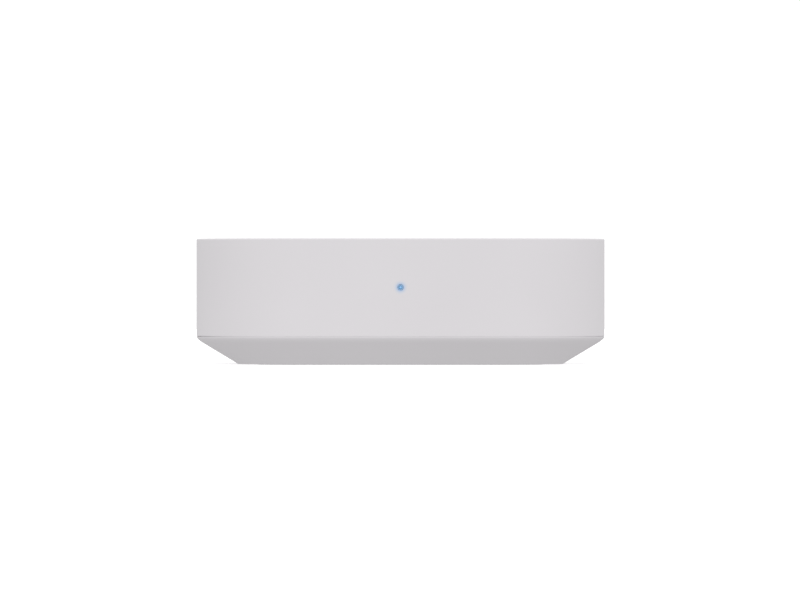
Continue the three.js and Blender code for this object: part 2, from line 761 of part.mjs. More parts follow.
function addRadio() {
  addChip("wifi_module", wifiPlace, wifiSize, tinnedSteel);
  for (const [side, word] of [[-1, "left"], [1, "right"]]) {
    const [thick, along, up] = antennaSize;
    addNode(`antenna_${word}`, block([-thick / 2, -along / 2, -up / 2], [thick / 2, along / 2, up / 2]), brass)
      .position.set(antennaX(side), -4, antennaHeight);
    addNode(`antenna_cable_${word}`, tube(cablePath(side), cableRadius, 40), blackRubber);
    addNode(`antenna_plug_${word}`, post(0, 0, 0, cablePlugHeight - sheetGap, cablePlugRadius, smallSegments), brass)
      .position.set(wifiPlace[0] + side * wifiSize[0] / 4, wifiPlace[1] + 1, boardTop + wifiSize[2]);
  }
}

// ---------------------------------------------------------------- assembly

addNode("top_shell", topShell(), whitePlastic);
addNode("base_shell", baseShell(), whitePlastic);
addNode("foot_pad", footPad(), greyRubber);
addNode("port_panel", portPanel(), blackPlastic);
addNode("main_board", mainBoard(), greenBoard);
addScrews();
addPowerJack();
addHdmi();
addEthernet();
addUsb();
addReset();
addCooling();
addBoardParts();
addStatusLight();
addRadio();

export default group;
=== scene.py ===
# %% [markdown]
# # A streaming media player, piece by piece
#
# The object is a low white box, ten centimetres square, that sits under a television. Its case is two
# mouldings that meet low on the wall, with the ports on a black plate at the back and one small blue light
# in front. A fixed frame already holds every part at its true size. This lesson makes the pieces that the
# eye meets as fine meshes, and gives each piece a finish that is built from nodes.
#
# The frame comes first, because every size below is read from it.

# %% Load the frame and note its box
import json
import math
import random
import bmesh
import bpy
from mathutils import Matrix, Vector

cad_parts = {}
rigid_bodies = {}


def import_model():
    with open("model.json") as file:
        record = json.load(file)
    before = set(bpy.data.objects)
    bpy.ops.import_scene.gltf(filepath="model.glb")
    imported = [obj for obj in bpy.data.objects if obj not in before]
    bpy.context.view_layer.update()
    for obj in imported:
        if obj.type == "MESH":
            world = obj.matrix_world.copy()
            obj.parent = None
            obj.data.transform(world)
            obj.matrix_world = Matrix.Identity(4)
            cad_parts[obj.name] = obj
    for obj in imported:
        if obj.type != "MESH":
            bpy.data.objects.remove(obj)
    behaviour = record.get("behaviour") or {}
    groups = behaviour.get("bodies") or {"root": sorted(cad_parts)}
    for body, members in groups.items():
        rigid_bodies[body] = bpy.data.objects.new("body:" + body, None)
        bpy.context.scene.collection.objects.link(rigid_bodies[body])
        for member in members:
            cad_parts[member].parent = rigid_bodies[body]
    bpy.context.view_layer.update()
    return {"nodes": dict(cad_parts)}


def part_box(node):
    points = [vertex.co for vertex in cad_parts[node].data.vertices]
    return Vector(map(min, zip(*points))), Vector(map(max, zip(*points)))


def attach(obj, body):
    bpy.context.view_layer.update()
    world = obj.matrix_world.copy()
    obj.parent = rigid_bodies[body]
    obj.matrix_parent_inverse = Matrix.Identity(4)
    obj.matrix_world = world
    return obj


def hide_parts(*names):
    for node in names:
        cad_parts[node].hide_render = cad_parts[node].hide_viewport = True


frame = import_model()

# %% [markdown]
# Blender works in metres, but a wall of 2 mm or an edge of 0.15 mm is easier to read in millimetres. So each
# mesh here is made in millimetres and scaled once, when it becomes a piece.
#
# A node's box, read in millimetres, gives the place and size of everything that follows.

# %% Read places in millimetres
MM = 0.001
SEAM_DROP = 0.05    # the finished parting line lies this far under the frame's


def box_of(node):
    """Lowest and highest corner of a frame node, in millimetres."""
    low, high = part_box(node)
    return low / MM, high / MM


cover_low, cover_high = box_of("top_shell")
tray_low, tray_high = box_of("base_shell")
pad_low, pad_high = box_of("foot_pad")
plate_low, plate_high = box_of("port_panel")
guide_low, guide_high = box_of("light_pipe")
board_low, board_high = box_of("main_board")
SEAM = cover_low.z - SEAM_DROP
TOP = cover_high.z
HALF_WIDTH = cover_high.x
HALF_DEPTH = cover_high.y
LIGHT_HEIGHT = (SEAM + TOP) / 2
print("seam at", round(SEAM, 2), "mm, top at", round(TOP, 2), "mm, light at", round(LIGHT_HEIGHT, 2), "mm")

# %% [markdown]
# ## Camera
#
# A catalogue picture of a small box is taken from far away with a long lens, so that its far edges are hardly
# smaller than its near ones. The lens follows from two plain facts: how far away the camera stands, and how
# wide a strip of the world fills the picture. The distance is measured from half-way between the middle of
# the box and its front. The camera looks level, a hair above the middle of the box.

# %% Put up the camera
CAMERA_DISTANCE = 2.5
PICTURE_WIDTH = 0.1961
CAMERA_ABOVE_MIDDLE = 0.0004
CAMERA_TO_THE_LEFT = 0.00013
camera_data = bpy.data.cameras.new("catalogue_camera")
camera_data.lens = camera_data.sensor_width * CAMERA_DISTANCE / PICTURE_WIDTH
camera_data.clip_start = 0.1
camera_data.clip_end = 100
camera = bpy.data.objects.new("catalogue_camera", camera_data)
bpy.context.scene.collection.objects.link(camera)
half_way_forward = (-HALF_DEPTH / 2) * MM
camera.location = (-CAMERA_TO_THE_LEFT, half_way_forward - CAMERA_DISTANCE,
                   TOP / 2 * MM + CAMERA_ABOVE_MIDDLE)
camera.rotation_euler = (math.radians(90), 0, 0)
bpy.context.scene.camera = camera
print("lens", round(camera_data.lens, 1), "mm")

# %% [markdown]
# ## Node helper
#
# Every finish below is a small tree of shader nodes. One helper adds a node, sets its options, and fills each
# input with a value or with another node's output, so that a tree reads from top to bottom like a recipe.

# %% Helper: add one shader node
def add_node(tree, kind, inputs=None, **options):
    """A new node in a tree, with its options set and its inputs filled or linked."""
    node = tree.nodes.new(kind)
    for option, value in options.items():
        setattr(node, option, value)
    for socket, value in (inputs or {}).items():
        if isinstance(value, bpy.types.NodeSocket):
            tree.links.new(value, node.inputs[socket])
        else:
            node.inputs[socket].default_value = value
    return node


def calculate(tree, operation, first, second=0.0):
    """The result of one sum on one or two numbers."""
    return add_node(tree, "ShaderNodeMath", {0: first, 1: second}, operation=operation).outputs[0]


# %% [markdown]
# ## Light
#
# Soft studio light comes from everywhere at once. The world does that well: it is brightest overhead, dimmer
# from below, as off a pale table, and a little weaker from the two sides, which is what lets the rounded
# corners fall off in tone. The front gets a little more than the back, and the right a hair more than the
# left. The ground behind is plain white, so rays straight from the camera see white.
#
# Lamps would do the same work, but each leaves a shadow with an edge and a bright patch in every glossy part.

# %% Light the scene with a soft world
SKY_ABOVE = 0.99
SKY_BELOW = 0.58
SIDE_LOSS = 0.08
FRONT_LIFT = 0.15
RIGHT_LIFT = 0.03
HORIZON_BLEND = 0.3
GROUND_WHITE = 1.1

world = bpy.data.worlds.new("soft_studio")
world.use_nodes = True
bpy.context.scene.world = world
sky = world.node_tree
sky.nodes.clear()
direction = add_node(sky, "ShaderNodeTexCoord").outputs["Generated"]
parts = add_node(sky, "ShaderNodeSeparateXYZ", {0: direction})
height_blend = add_node(sky, "ShaderNodeMapRange", {
    "Value": parts.outputs["Z"], "From Min": -HORIZON_BLEND, "From Max": HORIZON_BLEND,
    "To Min": SKY_BELOW, "To Max": SKY_ABOVE,
}, interpolation_type="SMOOTHSTEP").outputs["Result"]
front_share = calculate(sky, "MULTIPLY", parts.outputs["Y"], parts.outputs["Y"])
side_share = calculate(sky, "MULTIPLY", parts.outputs["X"], parts.outputs["X"])
front_over_side = calculate(sky, "SUBTRACT", front_share, side_share)
side_change = calculate(sky, "MULTIPLY_ADD", front_over_side, SIDE_LOSS)
side_change.node.inputs[2].default_value = 1.0
right_change = calculate(sky, "MULTIPLY", parts.outputs["X"], RIGHT_LIFT)
front_change = calculate(sky, "MULTIPLY", parts.outputs["Y"], -FRONT_LIFT)
shaped = calculate(sky, "ADD", side_change, calculate(sky, "ADD", right_change, front_change))
strength = calculate(sky, "MULTIPLY", height_blend, shaped)
lighting = add_node(sky, "ShaderNodeBackground", {"Color": (1, 1, 1, 1), "Strength": strength})
ground_white = add_node(sky, "ShaderNodeBackground", {"Color": (1, 1, 1, 1), "Strength": GROUND_WHITE})
camera_ray = add_node(sky, "ShaderNodeLightPath").outputs["Is Camera Ray"]
mixed = add_node(sky, "ShaderNodeMixShader", {
    0: camera_ray, 1: lighting.outputs[0], 2: ground_white.outputs[0],
})
add_node(sky, "ShaderNodeOutputWorld", {"Surface": mixed.outputs[0]})
bpy.context.scene.view_settings.view_transform = "Standard"
print("world light from", SKY_BELOW, "below to", SKY_ABOVE, "above")

# %% [markdown]
# The floor is a large pale sheet under the foot pad. It is only a stage. It takes the
# contact shadow, but it does not throw light back up: the world already gives that light, and an even one.

# %% Lay the floor
FLOOR_HALF = 3.0
PAPER_GLOW = 0.4
floor_mesh = bpy.data.meshes.new("studio_floor")
corners = [(x, y, 0) for x, y in ((-1, -1), (1, -1), (1, 1), (-1, 1))]
floor_mesh.from_pydata([Vector(corner) * FLOOR_HALF for corner in corners], [], [(0, 1, 2, 3)])
floor = bpy.data.objects.new("studio_floor", floor_mesh)
bpy.context.scene.collection.objects.link(floor)
floor.visible_diffuse = False
floor.visible_glossy = False
floor.visible_transmission = False
floor.visible_shadow = False
paper = bpy.data.materials.new("pale_paper")
paper.use_nodes = True
paper_tree = paper.node_tree
paper_grain = add_node(paper_tree, "ShaderNodeTexNoise", {"Scale": 60.0, "Detail": 3.0})
paper_tone = add_node(paper_tree, "ShaderNodeMapRange", {
    "Value": paper_grain.outputs["Fac"], "To Min": 0.96, "To Max": 1.0,
})
paper_shader = paper_tree.nodes["Principled BSDF"]
paper_tree.links.new(paper_tone.outputs["Result"], paper_shader.inputs["Base Color"])
paper_shader.inputs["Roughness"].default_value = 0.9
paper_shader.inputs["Specular IOR Level"].default_value = 0.0
paper_shader.inputs["Emission Color"].default_value = (1, 1, 1, 1)
paper_shader.inputs["Emission Strength"].default_value = PAPER_GLOW
floor_mesh.materials.append(paper)
print("floor", 2 * FLOOR_HALF, "m square")

# %% [markdown]
# ## Finishes
#
# A moulded plastic part is never one flat colour. The steel mould is spark-eroded, which leaves a fine sandy
# grain, and the pigment is not perfectly even. Both can be made from noise: one large, faint noise for tone,
# one fine noise for the grain, which also moves the gloss a little. Noise needs no image and no unwrapping,
# because it is read in the object's own coordinates.

# %% Helper: a material that starts from noise
def start_finish(name, roughness, metallic=0.0):
    """A new material with its main shader set up; gives back the material, its tree and the shader."""
    material = bpy.data.materials.new(name)
    material.use_nodes = True
    tree = material.node_tree
    shader = tree.nodes["Principled BSDF"]
    shader.inputs["Roughness"].default_value = roughness
    shader.inputs["Metallic"].default_value = metallic
    return material, tree, shader


def place_in(tree):
    """The point on the piece, in metres."""
    return add_node(tree, "ShaderNodeTexCoord").outputs["Object"]


def noise(tree, size_mm, detail=3.0, roughness=0.5, stretch=(1, 1, 1)):
    """Noise whose lumps are about size_mm across, optionally stretched."""
    scale = [part / (size_mm * MM) for part in stretch]
    moved = add_node(tree, "ShaderNodeVectorMath", {0: place_in(tree), 1: scale}, operation="MULTIPLY")
    texture = add_node(tree, "ShaderNodeTexNoise", {
        "Vector": moved.outputs[0], "Scale": 1.0, "Detail": detail, "Roughness": roughness,
    })
    return texture.outputs["Fac"]


def between(tree, value, low, high, start=0.0, end=1.0, smooth=False):
    """A value that runs from low to high as the input runs from start to end."""
    return add_node(tree, "ShaderNodeMapRange", {
        "Value": value, "From Min": start, "From Max": end, "To Min": low, "To Max": high,
    }, interpolation_type="SMOOTHSTEP" if smooth else "LINEAR").outputs["Result"]


def blend_colours(tree, factor, first, second):
    """One colour mixed into another."""
    mix = add_node(tree, "ShaderNodeMix", {"Factor": factor}, data_type="RGBA")
    for socket, colour in ((mix.inputs[6], first), (mix.inputs[7], second)):
        if isinstance(colour, bpy.types.NodeSocket):
            tree.links.new(colour, socket)
        else:
            socket.default_value = (*colour, 1)
    return mix.outputs[2]


def raise_grain(tree, shader, height, depth_mm, strength=1.0):
    """Turns a height into a fine bump of a given depth."""
    bump = add_node(tree, "ShaderNodeBump", {
        "Height": height, "Distance": depth_mm * MM, "Strength": strength,
    })
    tree.links.new(bump.outputs[0], shader.inputs["Normal"])


# %% [markdown]
# The case is white ABS with a fine grain. Its white is very slightly cool and pink. Around the light, on the
# front face, a soft blue bloom of the lamp's light is painted into the finish's colour. This painted light
# depends only on the distance from the light's own axis, so it stays in its place from every side.

# %% Finish: white case plastic
CASE_WHITE = (0.800, 0.776, 0.800)
CASE_WHITE_DEEP = (0.786, 0.762, 0.786)
# Painted light: how blue the painted bloom makes the white, and how far out from the light it reaches and
# fades.
PAINTED_BLOOM_TINT = (0.60, 0.795, 1.05)
PAINTED_BLOOM_START = 0.8
PAINTED_BLOOM_REACH = 2.1
PAINTED_BLOOM_FADE = 2.6
# Painted light: the wall of the pinhole glows by itself, standing in for the pipe's light that falls on it.
HOLE_GLOW = (0.12, 0.24, 0.40)
HOLE_GLOW_FADE = (0.74, 0.84)


def distance_from_light(tree):
    """Millimetres from the light's axis, seen straight from the front."""
    flat = add_node(tree, "ShaderNodeVectorMath", {
        0: place_in(tree), 1: (1 / MM, 0, 1 / MM),
    }, operation="MULTIPLY").outputs[0]
    away = add_node(tree, "ShaderNodeVectorMath", {0: flat, 1: (0, 0, LIGHT_HEIGHT)}, operation="DISTANCE")
    return away.outputs["Value"]


def at_the_front(tree):
    """One on the front face, nothing elsewhere."""
    depth = add_node(tree, "ShaderNodeSeparateXYZ", {0: place_in(tree)}).outputs["Y"]
    return between(tree, depth, 1.0, 0.0, (-HALF_DEPTH + 0.2) * MM, (-HALF_DEPTH + 0.6) * MM)


def white_case_plastic(name, painted_bloom):
    material, tree, shader = start_finish(name, 0.5)
    tone = between(tree, noise(tree, 35, 2.0), 0.0, 1.0, 0.35, 0.65)
    colour = blend_colours(tree, tone, CASE_WHITE, CASE_WHITE_DEEP)
    if painted_bloom:
        # Painted light: near the light's axis, the front face's white is blended towards blue as a painted
        # bloom of the lamp.
        away = distance_from_light(tree)
        painted_bloom_share = calculate(tree, "POWER", between(tree, away, 1.0, 0.0, PAINTED_BLOOM_START, PAINTED_BLOOM_REACH), PAINTED_BLOOM_FADE)
        painted_bloom_white = [channel * tint for channel, tint in zip(CASE_WHITE, PAINTED_BLOOM_TINT)]
        colour = blend_colours(tree, calculate(tree, "MULTIPLY", painted_bloom_share, at_the_front(tree)), colour, painted_bloom_white)
        # Painted light: close to the light's axis the case emits a faint blue, so the pinhole's wall looks
        # lit by the pipe.
        in_hole = between(tree, away, 1.0, 0.0, *HOLE_GLOW_FADE)
        glow = calculate(tree, "MULTIPLY", in_hole, at_the_front(tree))
        tree.links.new(glow, shader.inputs["Emission Strength"])
        shader.inputs["Emission Color"].default_value = (*HOLE_GLOW, 1)
    tree.links.new(colour, shader.inputs["Base Color"])
    grain = noise(tree, 0.3, 2.0, 0.6)
    tree.links.new(between(tree, grain, 0.44, 0.56), shader.inputs["Roughness"])
    raise_grain(tree, shader, grain, 0.004)
    return material


cover_white = white_case_plastic("case_white_cover", painted_bloom=True)
tray_white = white_case_plastic("case_white_tray", painted_bloom=False)
print("made", cover_white.name, "and", tray_white.name)

# %% [markdown]
# The plate that carries the ports is black plastic with a coarser grain, and the moulded port bodies are a
# smoother black. Both use the same recipe with other numbers, so they share one function. The tone wanders a
# little over a centimetre or so, because black plastic shows every rub mark and white hardly does.

# %% Finish: moulded plastics in other colours
def moulded_plastic(name, colour, roughness, grain_mm=0.35, grain_depth=0.006, tone_change=0.12):
    material, tree, shader = start_finish(name, roughness)
    tone = between(tree, noise(tree, 12, 3.0), 0.0, 1.0, 0.35, 0.65)
    lighter = [min(1.0, channel * (1 + tone_change) + 0.002) for channel in colour]
    darker = [channel * (1 - tone_change) for channel in colour]
    tree.links.new(blend_colours(tree, tone, darker, lighter), shader.inputs["Base Color"])
    grain = noise(tree, grain_mm, 3.0, 0.6)
    tree.links.new(between(tree, grain, roughness - 0.08, roughness + 0.08), shader.inputs["Roughness"])
    raise_grain(tree, shader, grain, grain_depth)
    return material


plate_black = moulded_plastic("panel_black", (0.022, 0.022, 0.025), 0.48)
port_black = moulded_plastic("port_black", (0.018, 0.018, 0.020), 0.38, 0.2, 0.002)
nylon_black = moulded_plastic("nylon_black", (0.030, 0.030, 0.033), 0.45, 0.5, 0.004)
chip_black = moulded_plastic("chip_epoxy", (0.026, 0.026, 0.028), 0.55, 0.12, 0.004)
button_grey = moulded_plastic("button_grey", (0.42, 0.42, 0.43), 0.42, 0.2, 0.003, 0.04)
print("made the black and grey plastics")

# %% [markdown]
# Rubber scatters light very evenly and feels dry. Its skin has tiny pits, so the bump uses a sharper noise,
# and a little sheen lifts the tone where the surface turns away.

# %% Finish: rubbers
def soft_rubber(name, colour, roughness=0.85, pit_mm=0.4, pit_depth=0.02):
    material, tree, shader = start_finish(name, roughness)
    tone = between(tree, noise(tree, 6, 4.0), 0.0, 1.0, 0.3, 0.7)
    darker = [channel * 0.96 for channel in colour]
    tree.links.new(blend_colours(tree, tone, darker, colour), shader.inputs["Base Color"])
    pits = between(tree, noise(tree, pit_mm, 4.0, 0.7), 0.0, 1.0, 0.38, 0.62)
    raise_grain(tree, shader, pits, pit_depth, 0.7)
    shader.inputs["Sheen Weight"].default_value = 0.15
    shader.inputs["Sheen Roughness"].default_value = 0.5
    return material


foot_rubber = soft_rubber("foot_rubber", (0.52, 0.52, 0.53))
cable_jacket = soft_rubber("cable_jacket", (0.022, 0.022, 0.025), 0.6, 0.15, 0.004)
gap_pad = soft_rubber("thermal_gap_pad", (0.27, 0.31, 0.37), 0.75, 0.25, 0.01)
print("made the rubbers")

# %% [markdown]
# Stamped steel carries fine lines from rolling. Stretching a noise a long way along one axis gives such
# lines: they drive both the gloss and a very shallow bump. Tin, nickel, gold and aluminium differ only in
# colour, in gloss and in how strong the lines are.

# %% Finish: metals
def rolled_metal(name, colour, roughness, line_mm=0.08, line_depth=0.0015, along="X", patch=0.06):
    material, tree, shader = start_finish(name, roughness, metallic=1.0)
    long_axis = {"X": (0.02, 1, 1), "Y": (1, 0.02, 1), "Z": (1, 1, 0.02)}[along]
    lines = noise(tree, line_mm, 2.0, 0.6, long_axis)
    patches = between(tree, noise(tree, 4, 3.0), 0.0, 1.0, 0.3, 0.7)
    darker = [channel * (1 - patch) for channel in colour]
    tree.links.new(blend_colours(tree, patches, darker, colour), shader.inputs["Base Color"])
    tree.links.new(between(tree, lines, roughness - 0.07, roughness + 0.07), shader.inputs["Roughness"])
    raise_grain(tree, shader, lines, line_depth, 0.6)
    return material


tinned_steel = rolled_metal("tinned_steel", (0.66, 0.67, 0.68), 0.26, along="Y")
nickel = rolled_metal("nickel_plate", (0.70, 0.67, 0.62), 0.18, along="Y")
spring_steel = rolled_metal("spring_steel", (0.58, 0.58, 0.59), 0.28, along="Z")
blackened_steel = rolled_metal("blackened_steel", (0.075, 0.075, 0.080), 0.36, along="Z", patch=0.2)
gold_contact = rolled_metal("gold_contact", (0.90, 0.64, 0.26), 0.2, along="Y")
strip_brass = rolled_metal("antenna_brass", (0.80, 0.61, 0.28), 0.3, along="Y")
sink_aluminium = rolled_metal("sink_aluminium", (0.68, 0.69, 0.71), 0.34, 0.12, 0.004, "Y")
can_aluminium = rolled_metal("can_aluminium", (0.74, 0.75, 0.77), 0.24, 0.1, 0.002, "Z")
print("made the metals")

# %% [markdown]
# ## From mesh to piece
#
# A piece is a mesh with a name, a finish and a body of the frame to ride on. Where it stands for a node of
# the frame, that node is hidden. Doing all of it in one place keeps a piece from being forgotten.

# %% Helper: make a mesh a piece of the object
def add_piece(name, mesh, finish, body="case", stands_for=(), sharpest=35):
    """Scales a mesh from millimetres, gives it its finish, and lets it ride on its body."""
    mesh.transform(Matrix.Scale(MM, 4))
    mesh.materials.clear()
    mesh.materials.append(finish)
    mesh.shade_smooth()
    mesh.set_sharp_from_angle(angle=math.radians(sharpest))
    mesh.name = name
    piece = bpy.data.objects.new(name, mesh)
    bpy.context.scene.collection.objects.link(piece)
    weigh = piece.modifiers.new("flat faces stay flat", "WEIGHTED_NORMAL")
    weigh.keep_sharp = True
    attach(piece, body)
    if stands_for:
        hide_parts(*stands_for)
    print(f"{name}: {len(mesh.polygons)} faces")
    return piece


# %% [markdown]
# ## Meshes of rings
#
# The case is the same rounded square at every height, only larger or smaller. So its shape is a stack of
# rings: each ring is the outline moved in from the wall by some distance. Skinning the stack with four-sided
# faces gives clean, even shading, and the profile of the wall stays a short list of steps that can be read.
#
# Two mouldings never meet equally closely all the way round. So a ring may also sink towards the two sides,
# by a share that grows fast as the wall turns away from front and back, and that is smaller on the right.
#
# The list starts on the inside, goes round the edge and ends on the outside, so one skin makes a closed wall
# with a real thickness.

# %% Helpers: ring outlines and their skin
CORNER_RADIUS = 25.0
CORNER_STEPS = 36
SIDEWAYS_POWER = 4.5
RIGHT_FIT = 0.65


def ring(inset, height, side_drop=0.0):
    """One loop round the case, moved in from the wall by an inset; it may sink towards the two sides."""
    points = []
    for quarter in range(4):
        middle_x = (HALF_WIDTH - CORNER_RADIUS) * (1 if quarter in (0, 3) else -1)
        middle_y = (HALF_DEPTH - CORNER_RADIUS) * (1 if quarter < 2 else -1)
        for step in range(CORNER_STEPS + 1):
            angle = math.pi / 2 * (quarter + step / CORNER_STEPS)
            reach = CORNER_RADIUS - inset
            sideways = abs(math.cos(angle)) ** SIDEWAYS_POWER
            if quarter in (0, 3):
                sideways *= RIGHT_FIT
            points.append((middle_x + reach * math.cos(angle), middle_y + reach * math.sin(angle),
                           height - side_drop * sideways))
    return points


def skin(rings):
    """A closed mesh through a stack of rings, with a flat face on its first and last ring."""
    mesh = bpy.data.meshes.new("skin")
    shape = bmesh.new()
    loops = [[shape.verts.new(point) for point in points] for points in rings]
    for lower, upper in zip(loops, loops[1:]):
        for index in range(len(lower)):
            following = (index + 1) % len(lower)
            shape.faces.new((lower[index], lower[following], upper[following], upper[index]))
    shape.faces.new(loops[0])
    shape.faces.new(loops[-1])
    bmesh.ops.recalc_face_normals(shape, faces=shape.faces)
    shape.to_mesh(mesh)
    shape.free()
    return mesh


def round_over(inset_from, height_from, inset_to, height_to, turns_out, steps=4):
    """Profile steps of a quarter round; it bulges along the inset if turns_out, else in height."""
    profile = []
    for step in range(steps + 1):
        angle = math.pi / 2 * step / steps
        if turns_out:
            share_inset, share_height = 1 - math.cos(angle), math.sin(angle)
        else:
            share_inset, share_height = math.sin(angle), 1 - math.cos(angle)
        profile.append((inset_from + (inset_to - inset_from) * share_inset,
                        height_from + (height_to - height_from) * share_height))
    return profile


# %% [markdown]
# Holes and slots are cut the way a mould's core would leave them: a cutter of the hole's shape is taken away
# from the wall. The exact boolean keeps the rest of the mesh as it was. After a cut, the new edges are
# knife-sharp, and no moulding has knife edges, so chosen edges get a small bevel.

# %% Helpers: cut, join and soften
def combine(mesh, other, operation="DIFFERENCE"):
    """One mesh cut by another, or joined to it."""
    scene = bpy.context.scene.collection.objects
    body = bpy.data.objects.new("body_to_cut", mesh)
    tool = bpy.data.objects.new("cutter", other)
    scene.link(body)
    scene.link(tool)
    boolean = body.modifiers.new("combine", "BOOLEAN")
    boolean.operation = operation
    boolean.object = tool
    boolean.solver = "EXACT"
    graph = bpy.context.evaluated_depsgraph_get()
    result = bpy.data.meshes.new_from_object(body.evaluated_get(graph))
    bpy.data.objects.remove(body)
    bpy.data.objects.remove(tool)
    return result


def merge(meshes):
    """Several meshes as one, side by side."""
    shape = bmesh.new()
    for mesh in meshes:
        shape.from_mesh(mesh)
    mesh = bpy.data.meshes.new("merged")
    shape.to_mesh(mesh)
    shape.free()
    return mesh


def soften(mesh, width, chosen, sharpest=50):
    """Bevels the sharp edges that the test picks by their middle point."""
    shape = bmesh.new()
    shape.from_mesh(mesh)
    edges = [edge for edge in shape.edges
             if len(edge.link_faces) == 2
             and edge.calc_face_angle(0) > math.radians(sharpest)
             and chosen((edge.verts[0].co + edge.verts[1].co) / 2)]
    bmesh.ops.bevel(shape, geom=edges, offset=width, segments=2, profile=0.5,
                    affect="EDGES", clamp_overlap=True)
    shape.to_mesh(mesh)
    shape.free()
    return mesh


def block(low, high, edge=0.0, segments=2):
    """A block between two corners, with its edges rounded by a small radius."""
    mesh = bpy.data.meshes.new("block")
    shape = bmesh.new()
    bmesh.ops.create_cube(shape, size=1.0)
    size = Vector(high) - Vector(low)
    for vertex in shape.verts:
        vertex.co = Vector(low) + Vector(size[k] * (vertex.co[k] + 0.5) for k in range(3))
    if edge:
        bmesh.ops.bevel(shape, geom=shape.edges, offset=edge, segments=segments, profile=0.5,
                        affect="EDGES", clamp_overlap=True)
    shape.to_mesh(mesh)
    shape.free()
    return mesh


def turned(profile, steps=48):
    """A solid of revolution about Z from (radius, height) steps that start and end on the axis."""
    mesh = bpy.data.meshes.new("turned")
    shape = bmesh.new()
    loops = []
    for radius, height in profile:
        if radius == 0:
            loops.append([shape.verts.new((0, 0, height))])
        else:
            turn = 2 * math.pi / steps
            loops.append([shape.verts.new((radius * math.cos(turn * k), radius * math.sin(turn * k), height))
                          for k in range(steps)])
    for lower, upper in zip(loops, loops[1:]):
        for k in range(steps):
            corners = [lower[k % len(lower)], lower[(k + 1) % len(lower)],
                       upper[(k + 1) % len(upper)], upper[k % len(upper)]]
            shape.faces.new(dict.fromkeys(corners))
    bmesh.ops.recalc_face_normals(shape, faces=shape.faces)
    shape.to_mesh(mesh)
    shape.free()
    return mesh


# Stand a turned solid on its side, so that its axis points out of the back of the case.
POINT_BACK = Matrix.Rotation(math.radians(-90), 4, "X")


def placed(mesh, place, turn=None):
    """The mesh turned, then moved to its place."""
    mesh.transform(Matrix.Translation(place) @ (turn or Matrix.Identity(4)))
    return mesh


# %% [markdown]
# ## The cover
#
# The cover is the large white moulding: four upright walls and a flat top, 2 mm thick. Its top edge is nearly
# sharp, a radius of 0.4 mm that catches one thin line of light. Its lower edge has a far smaller radius; with
# the tray's matching edge it leaves the fine parting line that any two-part case shows.

# %% Mould the cover
WALL = 2.0
TOP_EDGE = 0.4
SEAM_EDGE = 0.08
INNER_CORNER = 0.5


def cover_profile():
    """(inset, height) steps: down the inside, round the lower edge, up the outside and over the top edge."""
    ceiling = TOP - WALL
    inside = round_over(WALL + INNER_CORNER, ceiling, WALL, ceiling - INNER_CORNER, turns_out=False)
    lower = [(WALL, SEAM), *round_over(SEAM_EDGE, SEAM, 0, SEAM + SEAM_EDGE, turns_out=False, steps=3)]
    upper = round_over(0, TOP - TOP_EDGE, TOP_EDGE, TOP, turns_out=True, steps=6)
    return [*inside, *lower, *upper]


cover = skin([ring(inset, height) for inset, height in cover_profile()])
print("cover skin", len(cover.vertices), "points")

# %% [markdown]
# The back wall has one wide window for the port plate, open towards the tray. The front wall has a single
# pinhole for the light. The four posts that take the case screws hang from the ceiling.

# %% Cut the window and the light's hole, and add the screw posts
WINDOW_GAP = 0.2
WINDOW_CORNER = 1.0
LIGHT_HOLE = 0.75
POST_RADIUS = 3.5
PILOT_RADIUS = 1.4
window_half = plate_high.x + WINDOW_GAP
screw_box_low, screw_box_high = box_of("case_screw_1")
screw_place = (screw_box_low + screw_box_high) / 2
port_top = max(box_of(node)[1].z for node in ("hdmi_shell", "ethernet_shield", "usb_shell", "power_jack"))
WINDOW_TOP = port_top + 0.9


def window_cutter():
    """The window's shape, with its two upper corners rounded, run through the back wall."""
    outline = [(-window_half, SEAM - 2), (window_half, SEAM - 2)]
    for side in (1, -1):
        for step in range(7):
            angle = math.pi / 2 * (step / 6 if side > 0 else 1 + step / 6)
            outline.append((side * (window_half - WINDOW_CORNER) + WINDOW_CORNER * math.cos(angle),
                            WINDOW_TOP - WINDOW_CORNER + WINDOW_CORNER * math.sin(angle)))
    near = [(x, plate_low.y - 2, z) for x, z in outline]
    far = [(x, HALF_DEPTH + 2, z) for x, z in outline]
    return skin([near, far])


def round_hole(x, y, low, high, radius, steps=48):
    """An upright round cutter or post."""
    return placed(turned([(0, low), (radius, low), (radius, high), (0, high)], steps), (x, y, 0))


def four_places(x, y):
    return [(x, y), (-x, y), (-x, -y), (x, -y)]


light_hole = turned([(0, 0), (LIGHT_HOLE, 0), (LIGHT_HOLE, 6), (0, 6)])
placed(light_hole, (0, -HALF_DEPTH - 3, LIGHT_HEIGHT), POINT_BACK)
screw_places = four_places(abs(screw_place.x), abs(screw_place.y))
posts = [round_hole(x, y, SEAM + 0.1, TOP - WALL / 2, POST_RADIUS) for x, y in screw_places]
pilots = [round_hole(x, y, SEAM - 1, screw_box_high.z + 1, PILOT_RADIUS, 24) for x, y in screw_places]
cover = combine(cover, merge([window_cutter(), light_hole]))
cover = combine(cover, merge(posts), "UNION")
cover = combine(cover, merge(pilots))
print("cover cut", len(cover.vertices), "points")

# %% [markdown]
# The window's rim and the pinhole get their small edges now. The test for each edge is where it lies: in the
# back wall and round the window, or on the front face and close to the light's axis.

# %% Soften the cut edges and add the cover
def on_window_rim(point):
    in_width = abs(point.x) < window_half + 0.1
    in_height = SEAM + 0.2 < point.z < WINDOW_TOP + 0.1
    return point.y > plate_high.y - 2 and in_width and in_height


def on_pinhole(point):
    from_axis = (point - Vector((0, point.y, LIGHT_HEIGHT))).length
    return point.y < -HALF_DEPTH + 0.01 and from_axis < LIGHT_HOLE + 0.05


